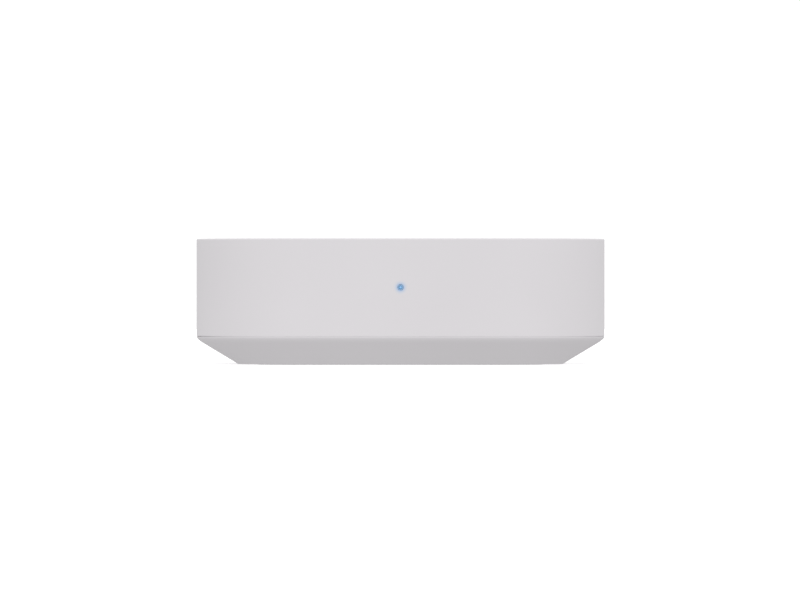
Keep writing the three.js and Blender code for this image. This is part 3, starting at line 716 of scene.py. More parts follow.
cover = soften(cover, 0.15, on_window_rim)
cover = soften(cover, 0.06, on_pinhole)
add_piece("cover_moulding", cover, cover_white, stands_for=["top_shell"])

# %% [markdown]
# ## The tray
#
# The tray closes the case from below. Its wall starts upright at the seam, rolls over in a soft blend and
# then slopes in at about thirty degrees to a smaller underside. The slope makes the box look as if it floats.
# The blend is a curve pulled towards the point where wall and slope would meet, so it has no visible start.
# The shoulder under the cover sinks a hair towards the two sides, so the seam reads as a darker line there.
#
# The profile runs from the recess for the foot pad, out over the underside, up the slope, over the lip that
# locates the cover, and down again to the floor inside.

# %% Mould the tray
SLOPE_TOP = 6.25
SLOPE_INSET = 10.2
BLEND_ALONG = 2.1
UNDERSIDE_DROP = 0.08    # the finished underside lies this far under the frame's
UNDERSIDE = tray_low.z - UNDERSIDE_DROP
UNDER_EDGE = 0.15
PAD_GAP = 0.2
SEAM_GAP = 0.085
SHOULDER = 1.2
LIP_OUTER = 2.3
LIP_INNER = 3.5
LIP_EDGE = 0.3
FLOOR_THICKNESS = 2.4
slope_length = math.hypot(SLOPE_INSET, SLOPE_TOP - UNDERSIDE)
slope_step = (SLOPE_INSET / slope_length, (SLOPE_TOP - UNDERSIDE) / slope_length)


def soft_corner(start, corner, end, steps):
    """A curve from start to end that is pulled towards a corner."""
    curve = []
    for step in range(steps + 1):
        t = step / steps
        curve.append(tuple((1 - t) ** 2 * a + 2 * t * (1 - t) * b + t ** 2 * c
                           for a, b, c in zip(start, corner, end)))
    return curve


def on_slope(distance):
    """(inset, height) on the slope, a distance down from where it would meet the wall."""
    return (slope_step[0] * distance, SLOPE_TOP - slope_step[1] * distance)


def tray_profile():
    pad_inset = HALF_WIDTH - pad_high.x - PAD_GAP
    inner_rise = WALL * math.hypot(1, slope_step[1] / slope_step[0])
    lip_foot = SLOPE_TOP - LIP_INNER * slope_step[1] / slope_step[0] + inner_rise
    floor_top = UNDERSIDE + FLOOR_THICKNESS
    floor_inset = (SLOPE_TOP + inner_rise - floor_top) * slope_step[0] / slope_step[1]
    recess = [(pad_inset, pad_high.z), (pad_inset, UNDERSIDE)]
    under_edge = soft_corner((SLOPE_INSET + UNDER_EDGE, UNDERSIDE), (SLOPE_INSET, UNDERSIDE),
                             on_slope(slope_length - UNDER_EDGE), 4)
    blend = soft_corner(on_slope(BLEND_ALONG), (0, SLOPE_TOP), (0, SEAM - SEAM_EDGE), 10)
    seam_edge = round_over(0, SEAM - SEAM_EDGE, SEAM_EDGE, SEAM, turns_out=True, steps=3)[1:]
    shoulder = [(inset, height, SEAM_GAP) for inset, height in [*seam_edge, (SHOULDER, SEAM)]]
    lip = [(SHOULDER + 0.05, SEAM), (LIP_OUTER, SEAM),
           (LIP_OUTER, tray_high.z - LIP_EDGE), (LIP_OUTER + LIP_EDGE, tray_high.z),
           (LIP_INNER, tray_high.z), (LIP_INNER, lip_foot), (floor_inset, floor_top)]
    return [*recess, *under_edge, *blend, *shoulder, *lip]


tray = skin([ring(*step) for step in tray_profile()])
print("tray skin", len(tray.vertices), "points")

# %% [markdown]
# Warm air leaves through a row of slots in the slope at the back, where nobody sees them. The lip is cut away
# where the port plate stands, and a shallow groove takes the plate's lower edge. Four posts take the case
# screws and four carry the board. All of these are simple solids, added to the skin or cut from it.

# %% Cut the tray's slots, screw holes and groove
VENT_COUNT = 13
VENT_PITCH = 4.4
VENT_WIDTH = 2.0
VENT_LENGTH = 5.5
VENT_SETBACK = 0.6
GROOVE_DEPTH = 0.8
BOARD_POST = 2.8
CASE_SCREW_HOLE = 1.5
SCREW_HEAD_HOLE = 2.54
SCREW_HEAD_DEPTH = 1.6
BOARD_SCREW_HOLE = 1.1
board_screw_low, board_screw_high = box_of("board_screw_1")
board_screw_place = (board_screw_low + board_screw_high) / 2


def slot_cutter(x, y, length, width, low, high, steps=8):
    """An upright cutter with round ends, longer from front to back than it is wide."""
    outline = []
    for end, first in ((1, 0), (-1, math.pi)):
        for step in range(steps + 1):
            angle = first + math.pi * step / steps
            outline.append((x + width / 2 * math.cos(angle),
                            y + end * (length - width) / 2 + width / 2 * math.sin(angle)))
    return skin([[(px, py, low) for px, py in outline], [(px, py, high) for px, py in outline]])


vent_middle = plate_low.y - VENT_SETBACK - VENT_LENGTH / 2
vents = [slot_cutter((index - (VENT_COUNT - 1) / 2) * VENT_PITCH, vent_middle, VENT_LENGTH, VENT_WIDTH,
                     UNDERSIDE - 1, SEAM) for index in range(VENT_COUNT)]
groove = block((-window_half, plate_low.y - WINDOW_GAP, SEAM - GROOVE_DEPTH),
               (window_half, plate_high.y + WINDOW_GAP, tray_high.z + 1))
rear_lip = block((-window_half, plate_low.y - 2, SEAM), (window_half, HALF_DEPTH, tray_high.z + 1))
board_screw_places = four_places(abs(board_screw_place.x), abs(board_screw_place.y))
tray_posts = [round_hole(x, y, pad_high.z + 0.4, SEAM, POST_RADIUS) for x, y in screw_places]
tray_posts += [round_hole(x, y, UNDERSIDE + 1.6, board_low.z, BOARD_POST) for x, y in board_screw_places]
screw_holes = [round_hole(x, y, UNDERSIDE - 1, SEAM + 1, CASE_SCREW_HOLE, 24) for x, y in screw_places]
head_holes = [round_hole(x, y, UNDERSIDE - 1, screw_box_low.z + SCREW_HEAD_DEPTH, SCREW_HEAD_HOLE, 32)
              for x, y in screw_places]
board_holes = [round_hole(x, y, board_screw_low.z - 0.5, board_low.z + 1, BOARD_SCREW_HOLE, 24)
               for x, y in board_screw_places]
tray = combine(tray, merge(tray_posts), "UNION")
tray = combine(tray, merge([*vents, *screw_holes, *board_holes, rear_lip]))
tray = combine(tray, merge(head_holes))
tray = combine(tray, groove)
print("tray cut", len(tray.vertices), "points")

# %% [markdown]
# The mouths of the slots show from behind and from below, so they get a small bevel. The other cuts are small
# or covered, and stay as the boolean left them.

# %% Soften the slots and add the tray
def on_vent_mouth(point):
    return abs(point.y - vent_middle) < VENT_LENGTH / 2 + 0.1 and point.z < SLOPE_TOP - slope_step[1] * 3


tray = soften(tray, 0.12, on_vent_mouth, sharpest=40)
add_piece("tray_moulding", tray, tray_white, stands_for=["base_shell"])

# %% [markdown]
# ## The foot pad
#
# One square of rubber lies in the recess and stands about a tenth of a millimetre proud. Its lower edge is
# rolled, and a shallow groove runs round near the edge, as it does on pads that are moulded and then glued
# in. Its outline is the case's own, only smaller, so the same rings make it.

# %% Mould the foot pad
def foot_profile():
    edge = HALF_WIDTH - pad_high.x
    rolled = round_over(edge + 0.3, pad_low.z, edge, pad_low.z + 0.3, turns_out=False)
    groove_floor = pad_low.z + 0.15
    ring_groove = [(edge + 2.2, pad_low.z), (edge + 2.0, groove_floor),
                   (edge + 1.4, groove_floor), (edge + 1.2, pad_low.z)]
    return [*ring_groove, *rolled, (edge, pad_high.z)]


foot = skin([ring(inset, height) for inset, height in foot_profile()])
add_piece("foot_pad_rubber", foot, foot_rubber, stands_for=["foot_pad"])

# %% [markdown]
# ## Flat plates with shaped holes
#
# A port plate, a socket shell and a socket's insert are all flat outlines drawn out straight, with holes in
# them and a fine edge all round. Blender's 2D curves make exactly that: they fill between the outer outline
# and the holes, extrude, and round every edge, holes included. The outline is drawn as it is seen from behind
# the player, so the right-hand side of the drawing is the player's -X side.

# %% Helper: draw an outline out to a solid
SEEN_FROM_BEHIND = Matrix(((-1, 0, 0, 0), (0, 0, 1, 0), (0, 1, 0, 0), (0, 0, 0, 1)))


def drawn_out(outlines, depth, edge=0.0, steps=2):
    """Outlines as one solid: the first is the outside and the others are holes. It ends at its front face."""
    curve = bpy.data.curves.new("outline", "CURVE")
    curve.dimensions = "2D"
    curve.fill_mode = "BOTH"
    curve.extrude = depth / 2 - edge
    curve.bevel_depth = edge
    curve.bevel_resolution = steps - 1
    curve.offset = -edge
    for outline in outlines:
        spline = curve.splines.new("POLY")
        spline.points.add(len(outline) - 1)
        for point, (across, up) in zip(spline.points, outline):
            point.co = (across, up, 0, 1)
        spline.use_cyclic_u = True
    holder = bpy.data.objects.new("outline", curve)
    bpy.context.scene.collection.objects.link(holder)
    graph = bpy.context.evaluated_depsgraph_get()
    mesh = bpy.data.meshes.new_from_object(holder.evaluated_get(graph))
    bpy.data.objects.remove(holder)
    shape = bmesh.new()
    shape.from_mesh(mesh)
    bmesh.ops.remove_doubles(shape, verts=shape.verts, dist=0.0005)
    bmesh.ops.recalc_face_normals(shape, faces=shape.faces)
    shape.to_mesh(mesh)
    shape.free()
    mesh.transform(Matrix.Translation((0, 0, -depth / 2)))
    return mesh


def rounded(left, bottom, right, top, radius, steps=5):
    """A rectangle's outline with round corners."""
    points = []
    for quarter in range(4):
        across = (right - radius) if quarter in (0, 3) else (left + radius)
        up = (top - radius) if quarter < 2 else (bottom + radius)
        for step in range(steps + 1):
            angle = math.pi / 2 * (quarter + step / steps)
            points.append((across + radius * math.cos(angle), up + radius * math.sin(angle)))
    return points


def circle(across, up, radius, steps=48):
    turn = 2 * math.pi / steps
    return [(across + radius * math.cos(turn * k), up + radius * math.sin(turn * k)) for k in range(steps)]


def facing_back(mesh, y):
    """Stands a drawn-out solid up, so that its front face looks out of the back of the case."""
    mesh.transform(Matrix.Translation((0, y, 0)) @ SEEN_FROM_BEHIND)
    return mesh


# %% [markdown]
# ## The port plate
#
# The plate is a black moulding with one opening for each port and a hole for the reset button. Each port's
# opening follows its port with a gap of 0.3 mm. Above the window the plate laps up behind the wall, which
# holds it in.

# %% Mould the port plate
PORT_GAP = 0.3
PLATE_EDGE = 0.15
PLATE_TAB = 24.0
FACE = plate_high.y
hdmi_low, hdmi_high = box_of("hdmi_shell")
usb_low, usb_high = box_of("usb_shell")
ethernet_low, ethernet_high = box_of("ethernet_shield")
power_low, power_high = box_of("power_jack")
reset_low, reset_high = box_of("reset_button")
reset_middle = (reset_low + reset_high) / 2
power_axis = (box_of("power_jack_pin")[0] + box_of("power_jack_pin")[1]) / 2
POWER_COLLAR = 4.05
RESET_RADIUS = 1.5
RESET_GAP = 0.2
HDMI_KNEE = 2.6
HDMI_SLOPE = 1.6


def opening_for(low, high, radius):
    """The outline of a port's opening, seen from behind."""
    return rounded(-high.x - PORT_GAP, low.z - PORT_GAP, -low.x + PORT_GAP, high.z + PORT_GAP, radius)


def hdmi_outline(inset=0.0):
    """Upright sides above, sloping sides below, with soft corners."""
    middle = -(hdmi_low.x + hdmi_high.x) / 2
    half = (hdmi_high.x - hdmi_low.x) / 2 - inset
    low, high = hdmi_low.z + inset, hdmi_high.z - inset
    knee = hdmi_low.z + HDMI_KNEE
    corners = [(half, high), (-half, high), (-half, knee),
               (-half + HDMI_SLOPE, low), (half - HDMI_SLOPE, low), (half, knee)]
    return [(middle + across, up) for across, up in round_corners(corners, 0.5)]


def round_corners(corners, radius, steps=4):
    """An outline with each corner replaced by a short curve."""
    points = []
    for index, corner in enumerate(corners):
        here = Vector(corner)
        before = Vector(corners[index - 1]) - here
        after = Vector(corners[(index + 1) % len(corners)]) - here
        start, end = here + before.normalized() * radius, here + after.normalized() * radius
        points += soft_corner(tuple(start), tuple(here), tuple(end), steps)
    return points


plate_shoulder = WINDOW_TOP - WINDOW_GAP
plate_outline = round_corners([
    (plate_high.x, plate_low.z), (plate_high.x, plate_shoulder),
    (PLATE_TAB, plate_shoulder), (PLATE_TAB, plate_high.z),
    (-PLATE_TAB, plate_high.z), (-PLATE_TAB, plate_shoulder),
    (plate_low.x, plate_shoulder), (plate_low.x, plate_low.z),
], 0.6)
plate_holes = [
    hdmi_outline(-PORT_GAP),
    opening_for(usb_low, usb_high, 0.5),
    opening_for(ethernet_low, ethernet_high, 0.5),
    circle(-power_axis.x, power_axis.z, POWER_COLLAR + PORT_GAP),
    circle(-reset_middle.x, reset_middle.z, RESET_RADIUS + RESET_GAP, 32),
]
port_plate = drawn_out([plate_outline, *plate_holes], FACE - plate_low.y, PLATE_EDGE)
add_piece("port_plate", facing_back(port_plate, FACE), plate_black, stands_for=["port_panel"])

# %% [markdown]
# ## HDMI socket
#
# The shell is a tube of thin tinned steel in the socket's own outline. Two spring fingers in its top wall and
# two in its bottom wall press on the plug's shell. The tube is one outline inside another, drawn out, which
# gives a sheet of nearly even thickness.

# %% Make the HDMI socket
SHEET = 0.4
FOLD = 0.12


def socket_tube(outer, inner, depth):
    """A thin-walled tube whose mouth is on the port face."""
    return facing_back(drawn_out([outer, inner], depth, FOLD), FACE)


def spring_finger(x, y, z, width, length, bow):
    """A bowed leaf of sheet metal that presses into the mouth; bow is its height, up or down."""
    top, under = [], []
    for step in range(9):
        share = step / 8
        rise = bow * math.sin(math.pi * share)
        top.append((y - length * share, z + rise))
        under.append((y - length * share, z + rise + math.copysign(0.2, bow) * -1))
    outline = top + under[::-1]
    near = [(x - width / 2, py, pz) for py, pz in outline]
    far = [(x + width / 2, py, pz) for py, pz in outline]
    return skin([near, far])


hdmi_depth = hdmi_high.y - hdmi_low.y
hdmi_middle = (hdmi_low.x + hdmi_high.x) / 2
hdmi_tube = socket_tube(hdmi_outline(), hdmi_outline(SHEET), hdmi_depth)
add_piece("hdmi_socket_shell", hdmi_tube, tinned_steel, stands_for=["hdmi_shell"])
hdmi_fingers = merge([
    spring_finger(hdmi_middle + side * 3.4, FACE - 2.2, hdmi_high.z - SHEET - 0.05, 1.6, 5.0, -0.45)
    for side in (-1, 1)
] + [
    spring_finger(hdmi_middle + side * 2.6, FACE - 2.2, hdmi_low.z + SHEET + 0.05, 1.6, 5.0, 0.45)
    for side in (-1, 1)
])
add_piece("hdmi_spring_fingers", hdmi_fingers, tinned_steel)

# %% [markdown]
# A plastic tongue stands in the middle of the socket, with ten gold contacts above and nine below. It grows
# from a root that closes the back of the tube. Each contact is a flat block, half sunk in the plastic.

# %% Make the HDMI tongue and its contacts
tongue_low, tongue_high = box_of("hdmi_tongue")
TONGUE_BOTTOM = hdmi_low.z + HDMI_KNEE
TONGUE_TOP = hdmi_low.z + 3.7
tongue_half = (hdmi_high.x - hdmi_low.x) / 2 - 2.4
root = facing_back(drawn_out([hdmi_outline(0.5)], 3.0, 0.05), tongue_low.y + 3.0)
blade = block((hdmi_middle - tongue_half, tongue_low.y + 2, TONGUE_BOTTOM),
              (hdmi_middle + tongue_half, tongue_high.y, TONGUE_TOP), 0.18)
add_piece("hdmi_contact_tongue", combine(root, blade, "UNION"), port_black,
          stands_for=["hdmi_tongue"])


def contact_row(count, middle_x, pitch, width, back, front, z, thickness=0.12):
    """A row of flat gold contacts, half sunk in the tongue."""
    return [block((middle_x + (k - (count - 1) / 2) * pitch - width / 2, back, z - thickness / 2),
                  (middle_x + (k - (count - 1) / 2) * pitch + width / 2, front, z + thickness / 2), 0.03, 1)
            for k in range(count)]


hdmi_contacts = contact_row(10, hdmi_middle, 1.0, 0.5, tongue_low.y + 3.2, tongue_high.y - 0.5, TONGUE_TOP)
hdmi_contacts += contact_row(9, hdmi_middle, 1.0, 0.5, tongue_low.y + 3.2, tongue_high.y - 0.5, TONGUE_BOTTOM)
add_piece("hdmi_contacts", merge(hdmi_contacts), gold_contact)

# %% [markdown]
# ## USB socket
#
# The same parts again: a folded steel tube with two leaf springs, which show inside its mouth at the bottom,
# and a plastic tongue with contacts. So the helpers of the last cells serve here with other numbers.

# %% Make the USB socket
usb_middle = (usb_low.x + usb_high.x) / 2
usb_outer = rounded(-usb_high.x, usb_low.z, -usb_low.x, usb_high.z, 0.6)
usb_inner = rounded(-usb_high.x + SHEET, usb_low.z + SHEET, -usb_low.x - SHEET, usb_high.z - SHEET, 0.25)
usb_tube = socket_tube(usb_outer, usb_inner, usb_high.y - usb_low.y)
add_piece("usb_socket_shell", usb_tube, tinned_steel, stands_for=["usb_shell"])
usb_fingers = [spring_finger(usb_middle + side * 3.2, FACE - 1.6, usb_low.z + SHEET + 0.05, 1.9, 5.6, 0.55)
               for side in (-1, 1)]
add_piece("usb_spring_fingers", merge(usb_fingers), tinned_steel)

# %% [markdown]
# This tongue hangs near the top of the mouth, and its four contacts are wide and lie on its underside.

# %% Make the USB tongue and its contacts
usb_tongue_low, usb_tongue_high = box_of("usb_tongue")
usb_root = block((usb_low.x + 0.5, usb_tongue_low.y, usb_low.z + 0.5),
                 (usb_high.x - 0.5, usb_tongue_low.y + 3, usb_high.z - 0.5), 0.1)
usb_blade_top = usb_high.z - 0.9
usb_blade = block((usb_low.x + 1.2, usb_tongue_low.y + 2, usb_blade_top - 1.8),
                  (usb_high.x - 1.2, usb_tongue_high.y, usb_blade_top), 0.2)
add_piece("usb_contact_tongue", combine(usb_root, usb_blade, "UNION"), port_black,
          stands_for=["usb_tongue"])
usb_contacts = contact_row(4, usb_middle, 2.3, 1.1, usb_tongue_low.y + 3.2, usb_tongue_high.y - 1.0,
                           usb_blade_top - 1.8)
add_piece("usb_contacts", merge(usb_contacts), gold_contact)

# %% [markdown]
# ## Network socket
#
# A steel can is folded round a black insert. The insert's cavity has a wide part for the plug and a narrow
# notch below for its latch. The insert is drawn out in two lengths: a front one with the cavity as a hole in
# its outline, and a solid one behind, which is the cavity's back wall.

# %% Make the network socket's can and insert
insert_low, insert_high = box_of("ethernet_socket")
CAVITY_WIDTH = 11.8
CAVITY_HEIGHT = 7.0
CAVITY_DEPTH = 12.0
LATCH_WIDTH = 6.2
LATCH_DROP = 2.0
ethernet_middle = (ethernet_low.x + ethernet_high.x) / 2
cavity_floor = ethernet_low.z + (ethernet_high.z - ethernet_low.z - CAVITY_HEIGHT + LATCH_DROP) / 2


def stepped_cavity():
    """The plug's outline, seen from behind: a wide opening with a latch notch below, in two steps."""
    middle = -ethernet_middle
    wide, narrow, notch = CAVITY_WIDTH / 2, LATCH_WIDTH / 2, LATCH_WIDTH / 2 - 1.2
    floor, top = cavity_floor, cavity_floor + CAVITY_HEIGHT
    step, bottom = floor - LATCH_DROP * 0.5, floor - LATCH_DROP
    right = [(notch, bottom), (notch, step), (narrow, step), (narrow, floor), (wide, floor), (wide, top)]
    left = [(-across, up) for across, up in reversed(right)]
    return [(middle + across, up) for across, up in round_corners(right + left, 0.15, 2)]


can_outer = rounded(-ethernet_high.x, ethernet_low.z, -ethernet_low.x, ethernet_high.z, 0.5)
can_inner = rounded(-ethernet_high.x + SHEET, ethernet_low.z + 0.02,
                    -ethernet_low.x - SHEET, ethernet_high.z - SHEET, 0.25)
can_depth = ethernet_high.y - ethernet_low.y
can_tube = socket_tube(can_outer, can_inner, can_depth - SHEET)
can_back = facing_back(drawn_out([can_outer], SHEET, 0.05), ethernet_low.y + SHEET)
add_piece("ethernet_can", merge([can_tube, can_back]), tinned_steel,
          stands_for=["ethernet_shield"])
insert_outer = rounded(-insert_high.x, insert_low.z, -insert_low.x, insert_high.z, 0.2)
insert_mouth = facing_back(drawn_out([insert_outer, stepped_cavity()], CAVITY_DEPTH, 0.12), insert_high.y)
insert_rear = facing_back(drawn_out([insert_outer], insert_high.y - CAVITY_DEPTH - insert_low.y, 0.02),
                          insert_high.y - CAVITY_DEPTH)
add_piece("ethernet_insert", merge([insert_mouth, insert_rear]), port_black,
          stands_for=["ethernet_socket"])

# %% [markdown]
# Eight sprung wires come down from the ceiling of the cavity at a slant. They are drawn as round wire, which
# is a curve with a thickness, because their glint is what the eye finds first in such a socket.

# %% Bend the eight contact wires
def wire(points, radius, sides=8):
    """A round wire along straight runs, with its ends closed."""
    curve = bpy.data.curves.new("wire", "CURVE")
    curve.dimensions = "3D"
    curve.bevel_depth = radius
    curve.bevel_resolution = sides // 4
    curve.use_fill_caps = True
    spline = curve.splines.new("POLY")
    spline.points.add(len(points) - 1)
    for target, point in zip(spline.points, points):
        target.co = (*point, 1)
    holder = bpy.data.objects.new("wire", curve)
    bpy.context.scene.collection.objects.link(holder)
    graph = bpy.context.evaluated_depsgraph_get()
    mesh = bpy.data.meshes.new_from_object(holder.evaluated_get(graph))
    bpy.data.objects.remove(holder)
    return mesh


def contact_wire(x):
    """Down from the ceiling near the mouth, slanting to the back of the cavity."""
    ceiling = cavity_floor + CAVITY_HEIGHT
    bend = [(x, FACE - 2.0, ceiling + 0.2), (x, FACE - 2.4, ceiling - 0.5), (x, FACE - 3.2, ceiling - 1.0)]
    slant = [(x, FACE - 9.5, ceiling - 3.4), (x, FACE - 10.2, ceiling - 3.6)]
    end = [(x, FACE - CAVITY_DEPTH - 0.2, ceiling - 3.6)]
    return wire(bend + slant + end, 0.22)


wires = merge([contact_wire(ethernet_middle + (k - 3.5) * 1.02) for k in range(8)])
add_piece("ethernet_contacts", wires, gold_contact)

# %% [markdown]
# ## Power socket
#
# A black block with a round collar that fills its opening in the plate. In the bore stands a plated pin with
# a domed tip, and a bowed spring lies along the bottom of the bore. The collar is a turned profile, so the
# round edges of its mouth are steps of the profile itself.

# %% Make the power socket
BORE = 3.15
BORE_DEPTH = 10.0
RIM = 0.25
housing_front = plate_low.y - PORT_GAP
housing = block((power_low.x, power_low.y, power_low.z), (power_high.x, housing_front, power_high.z), 0.3)
collar_profile = [(0, -BORE_DEPTH - 1), (POWER_COLLAR, -BORE_DEPTH - 1)]
collar_profile += [(POWER_COLLAR - RIM + RIM * math.cos(a), -RIM + RIM * math.sin(a))
                   for a in (math.radians(step * 22.5) for step in range(5))]
collar_profile += [(BORE + RIM - RIM * math.sin(a), -RIM + RIM * math.cos(a))
                   for a in (math.radians(step * 22.5) for step in range(5))]
collar_profile += [(BORE, -BORE_DEPTH), (0, -BORE_DEPTH)]
collar = placed(turned(collar_profile, 64), (power_axis.x, FACE, power_axis.z), POINT_BACK)
bore = placed(turned([(0, -BORE_DEPTH), (BORE, -BORE_DEPTH), (BORE, 1), (0, 1)], 64),
              (power_axis.x, FACE, power_axis.z), POINT_BACK)
power_body = combine(combine(housing, bore), collar, "UNION")
add_piece("power_socket_body", power_body, port_black, stands_for=["power_jack"])
pin_low, pin_high = box_of("power_jack_pin")
pin_radius = (pin_high.x - pin_low.x) / 2
pin_length = pin_high.y - pin_low.y
pin_profile = [(0, 0), (pin_radius, 0), (pin_radius, pin_length - pin_radius)]
pin_profile += [(pin_radius * math.cos(a), pin_length - pin_radius + pin_radius * math.sin(a))
                for a in (math.radians(step * 15) for step in range(1, 6))]
pin_profile += [(0, pin_length)]
pin = placed(turned(pin_profile, 32), (power_axis.x, pin_low.y, power_axis.z), POINT_BACK)
add_piece("power_socket_pin", pin, nickel, stands_for=["power_jack_pin"])
leaf = spring_finger(power_axis.x, FACE - 2.5, power_axis.z - BORE + 0.1, 1.6, 7.0, 0.7)
add_piece("power_socket_spring", leaf, nickel)

# %% [markdown]
# ## Reset button
#
# The only part that moves. It is a small grey cap on a flange: the flange stays behind the plate and the cap
# shows through its hole. Its face is slightly dished for a fingertip or the end of a pen. It rides on its own
# body, so it travels with its joint.

# %% Turn the reset button
RESET_FLANGE = 2.2
cap_length = reset_high.y - reset_low.y
cap_profile = [(0, 0), (RESET_FLANGE - 0.15, 0), (RESET_FLANGE, 0.15), (RESET_FLANGE, 0.85),
               (RESET_FLANGE - 0.15, 1.0), (RESET_RADIUS, 1.0), (RESET_RADIUS, cap_length - 0.25)]
cap_profile += [(RESET_RADIUS - 0.25 + 0.25 * math.cos(a), cap_length - 0.25 + 0.25 * math.sin(a))
                for a in (math.radians(step * 22.5) for step in range(1, 5))]
cap_profile += [(0.8, cap_length - 0.06), (0, cap_length - 0.1)]
cap = placed(turned(cap_profile, 48), (reset_middle.x, reset_low.y, reset_middle.z), POINT_BACK)
add_piece("reset_button_cap", cap, button_grey, body="reset_cap", stands_for=["reset_button"])

# %% [markdown]
# ## The status light
#
# A clear pipe carries the light from the board to the wall and ends in a tip of 1.3 mm. What shows is the end
# of that tip: a bright middle, a deeper ring round it, and a pale rim where the light meets the side of the
# tip. A real lamp behind clear plastic would leave this to chance and to noise, so the finish of the tip
# glows by itself, in a colour that depends on the distance from its own axis.

# %% Finish: the lit pipe
LIT_MIDDLE = (0.245, 0.485, 0.78)
LIT_RING = (0.045, 0.15, 0.31)
LIT_RIM = (0.40, 0.59, 0.82)


def lit_clear_plastic():
    material, tree, shader = start_finish("lit_clear_plastic", 0.12)
    away = distance_from_light(tree)
    to_ring = between(tree, away, 0.0, 1.0, 0.15, 0.45, smooth=True)
    to_rim = between(tree, away, 0.0, 1.0, 0.46, 0.60, smooth=True)
    colour = blend_colours(tree, to_rim, blend_colours(tree, to_ring, LIT_MIDDLE, LIT_RING), LIT_RIM)
    cloud = between(tree, noise(tree, 0.8), 0.95, 1.0)
    tree.links.new(colour, shader.inputs["Emission Color"])
    tree.links.new(calculate(tree, "MULTIPLY", at_the_front(tree), cloud), shader.inputs["Emission Strength"])
    clear = blend_colours(tree, at_the_front(tree), (0.85, 0.92, 0.97), (0.02, 0.03, 0.04))
    tree.links.new(clear, shader.inputs["Base Color"])
    shader.inputs["Transmission Weight"].default_value = 0.6
    shader.inputs["IOR"].default_value = 1.58
    return material


def blue_led_plastic():
    material, tree, shader = start_finish("blue_led", 0.3)
    cloud = noise(tree, 0.6)
    colour = blend_colours(tree, cloud, (0.20, 0.42, 0.80), (0.35, 0.62, 0.95))
    tree.links.new(colour, shader.inputs["Base Color"])
    shader.inputs["Emission Color"].default_value = (0.25, 0.6, 1.0, 1)
    shader.inputs["Emission Strength"].default_value = 1.5
    return material


lit_plastic = lit_clear_plastic()
led_plastic = blue_led_plastic()
print("made", lit_plastic.name, "and", led_plastic.name)

# %% [markdown]
# The pipe itself is a round bar along a path: up from the light source, round a bend, out to the wall. A flat
# ear on each side has a hole for a stake. The tip is turned, with a shallow dome for its face.

# %% Make the light pipe
PIPE_RADIUS = 1.4
TIP_RADIUS = 0.65
BEND = 2.6
EAR_HALF = 1.8
EAR_THICKNESS = 1.2
STAKE_HOLE = 0.7
STAKE_REACH = 4
led_low, led_high = box_of("status_led")
led_middle = (led_low + led_high) / 2
pipe_front = -HALF_DEPTH + WALL + 0.2


def pipe_path():
    up = [(0, led_middle.y, led_high.z + 0.3), (0, led_middle.y, LIGHT_HEIGHT - BEND)]
    round_bend = [(0, led_middle.y - BEND * (1 - math.cos(a)), LIGHT_HEIGHT - BEND + BEND * math.sin(a))
                  for a in (math.radians(step * 11.25) for step in range(1, 8))]
    return [*up, *round_bend, (0, led_middle.y - BEND, LIGHT_HEIGHT), (0, pipe_front, LIGHT_HEIGHT)]


pipe = wire(pipe_path(), PIPE_RADIUS, 16)
tip_profile = [(0, -3), (TIP_RADIUS, -3), (TIP_RADIUS, -0.12)]
tip_profile += [(TIP_RADIUS * math.cos(a), -0.12 + 0.12 * math.sin(a)) for a in
                (math.radians(step * 15) for step in range(1, 6))]
tip_profile += [(0, 0)]
point_front = Matrix.Rotation(math.radians(90), 4, "X")
tip = placed(turned(tip_profile, 32), (0, -HALF_DEPTH, LIGHT_HEIGHT), point_front)
ear = block((guide_low.x, pipe_front, LIGHT_HEIGHT - EAR_HALF),
            (guide_high.x, pipe_front + EAR_THICKNESS, LIGHT_HEIGHT + EAR_HALF), 0.2)
stake_holes = []
for side in (-1, 1):
    stake_hole = turned([(0, -3), (STAKE_HOLE, -3), (STAKE_HOLE, 3), (0, 3)], 24)
    stake_holes.append(placed(stake_hole, (side * STAKE_REACH, pipe_front, LIGHT_HEIGHT), POINT_BACK))
guide = combine(combine(pipe, merge([tip]), "UNION"), combine(ear, merge(stake_holes)), "UNION")
add_piece("light_guide", guide, lit_plastic, stands_for=["light_pipe"])

# %% [markdown]
# ## The circuit board's finish
#
# A board is a woven laminate under green solder mask, with faint copper tracks that run in right angles. The
# tracks could be modelled, but they stand up by less than the width of a hair. A brick pattern gives such
# runs, and a wave gives the weave.

# %% Finish: the circuit board
def board_green():
    material, tree, shader = start_finish("board_green", 0.35)
    runs = add_node(tree, "ShaderNodeTexBrick", {
        "Vector": place_in(tree), "Scale": 420.0, "Mortar Size": 0.03, "Mortar Smooth": 0.2,
        "Color1": (0, 0, 0, 1), "Color2": (0, 0, 0, 1), "Mortar": (1, 1, 1, 1),
    })
    weave = add_node(tree, "ShaderNodeTexWave", {
        "Vector": place_in(tree), "Scale": 1800.0, "Distortion": 0.4,
    })
    mask = blend_colours(tree, noise(tree, 18), (0.008, 0.085, 0.045), (0.012, 0.105, 0.058))
    faint_runs = calculate(tree, "MULTIPLY", runs.outputs["Fac"], 0.6)
    colour = blend_colours(tree, faint_runs, mask, (0.035, 0.22, 0.115))
    tree.links.new(colour, shader.inputs["Base Color"])
    height = calculate(tree, "MULTIPLY_ADD", weave.outputs["Fac"], 0.15)
    tree.links.new(runs.outputs["Fac"], height.node.inputs[2])
    raise_grain(tree, shader, height, 0.02, 0.6)
    shader.inputs["Coat Weight"].default_value = 0.3
    shader.inputs["Coat Roughness"].default_value = 0.2
    return material


board_finish = board_green()
print("made", board_finish.name)

# %% [markdown]
# ## Chips
#
# A chip is a block of black epoxy. It comes out of its mould because its sides lean in a little, and a round
# mark is sunk beside its first leg. A leg is bent out, down and out again. It is one outline with a width,
# repeated along the row.

# %% Helpers: chip bodies and legs
CHIP_LEAN = 0.12
LEG_THICKNESS = 0.16


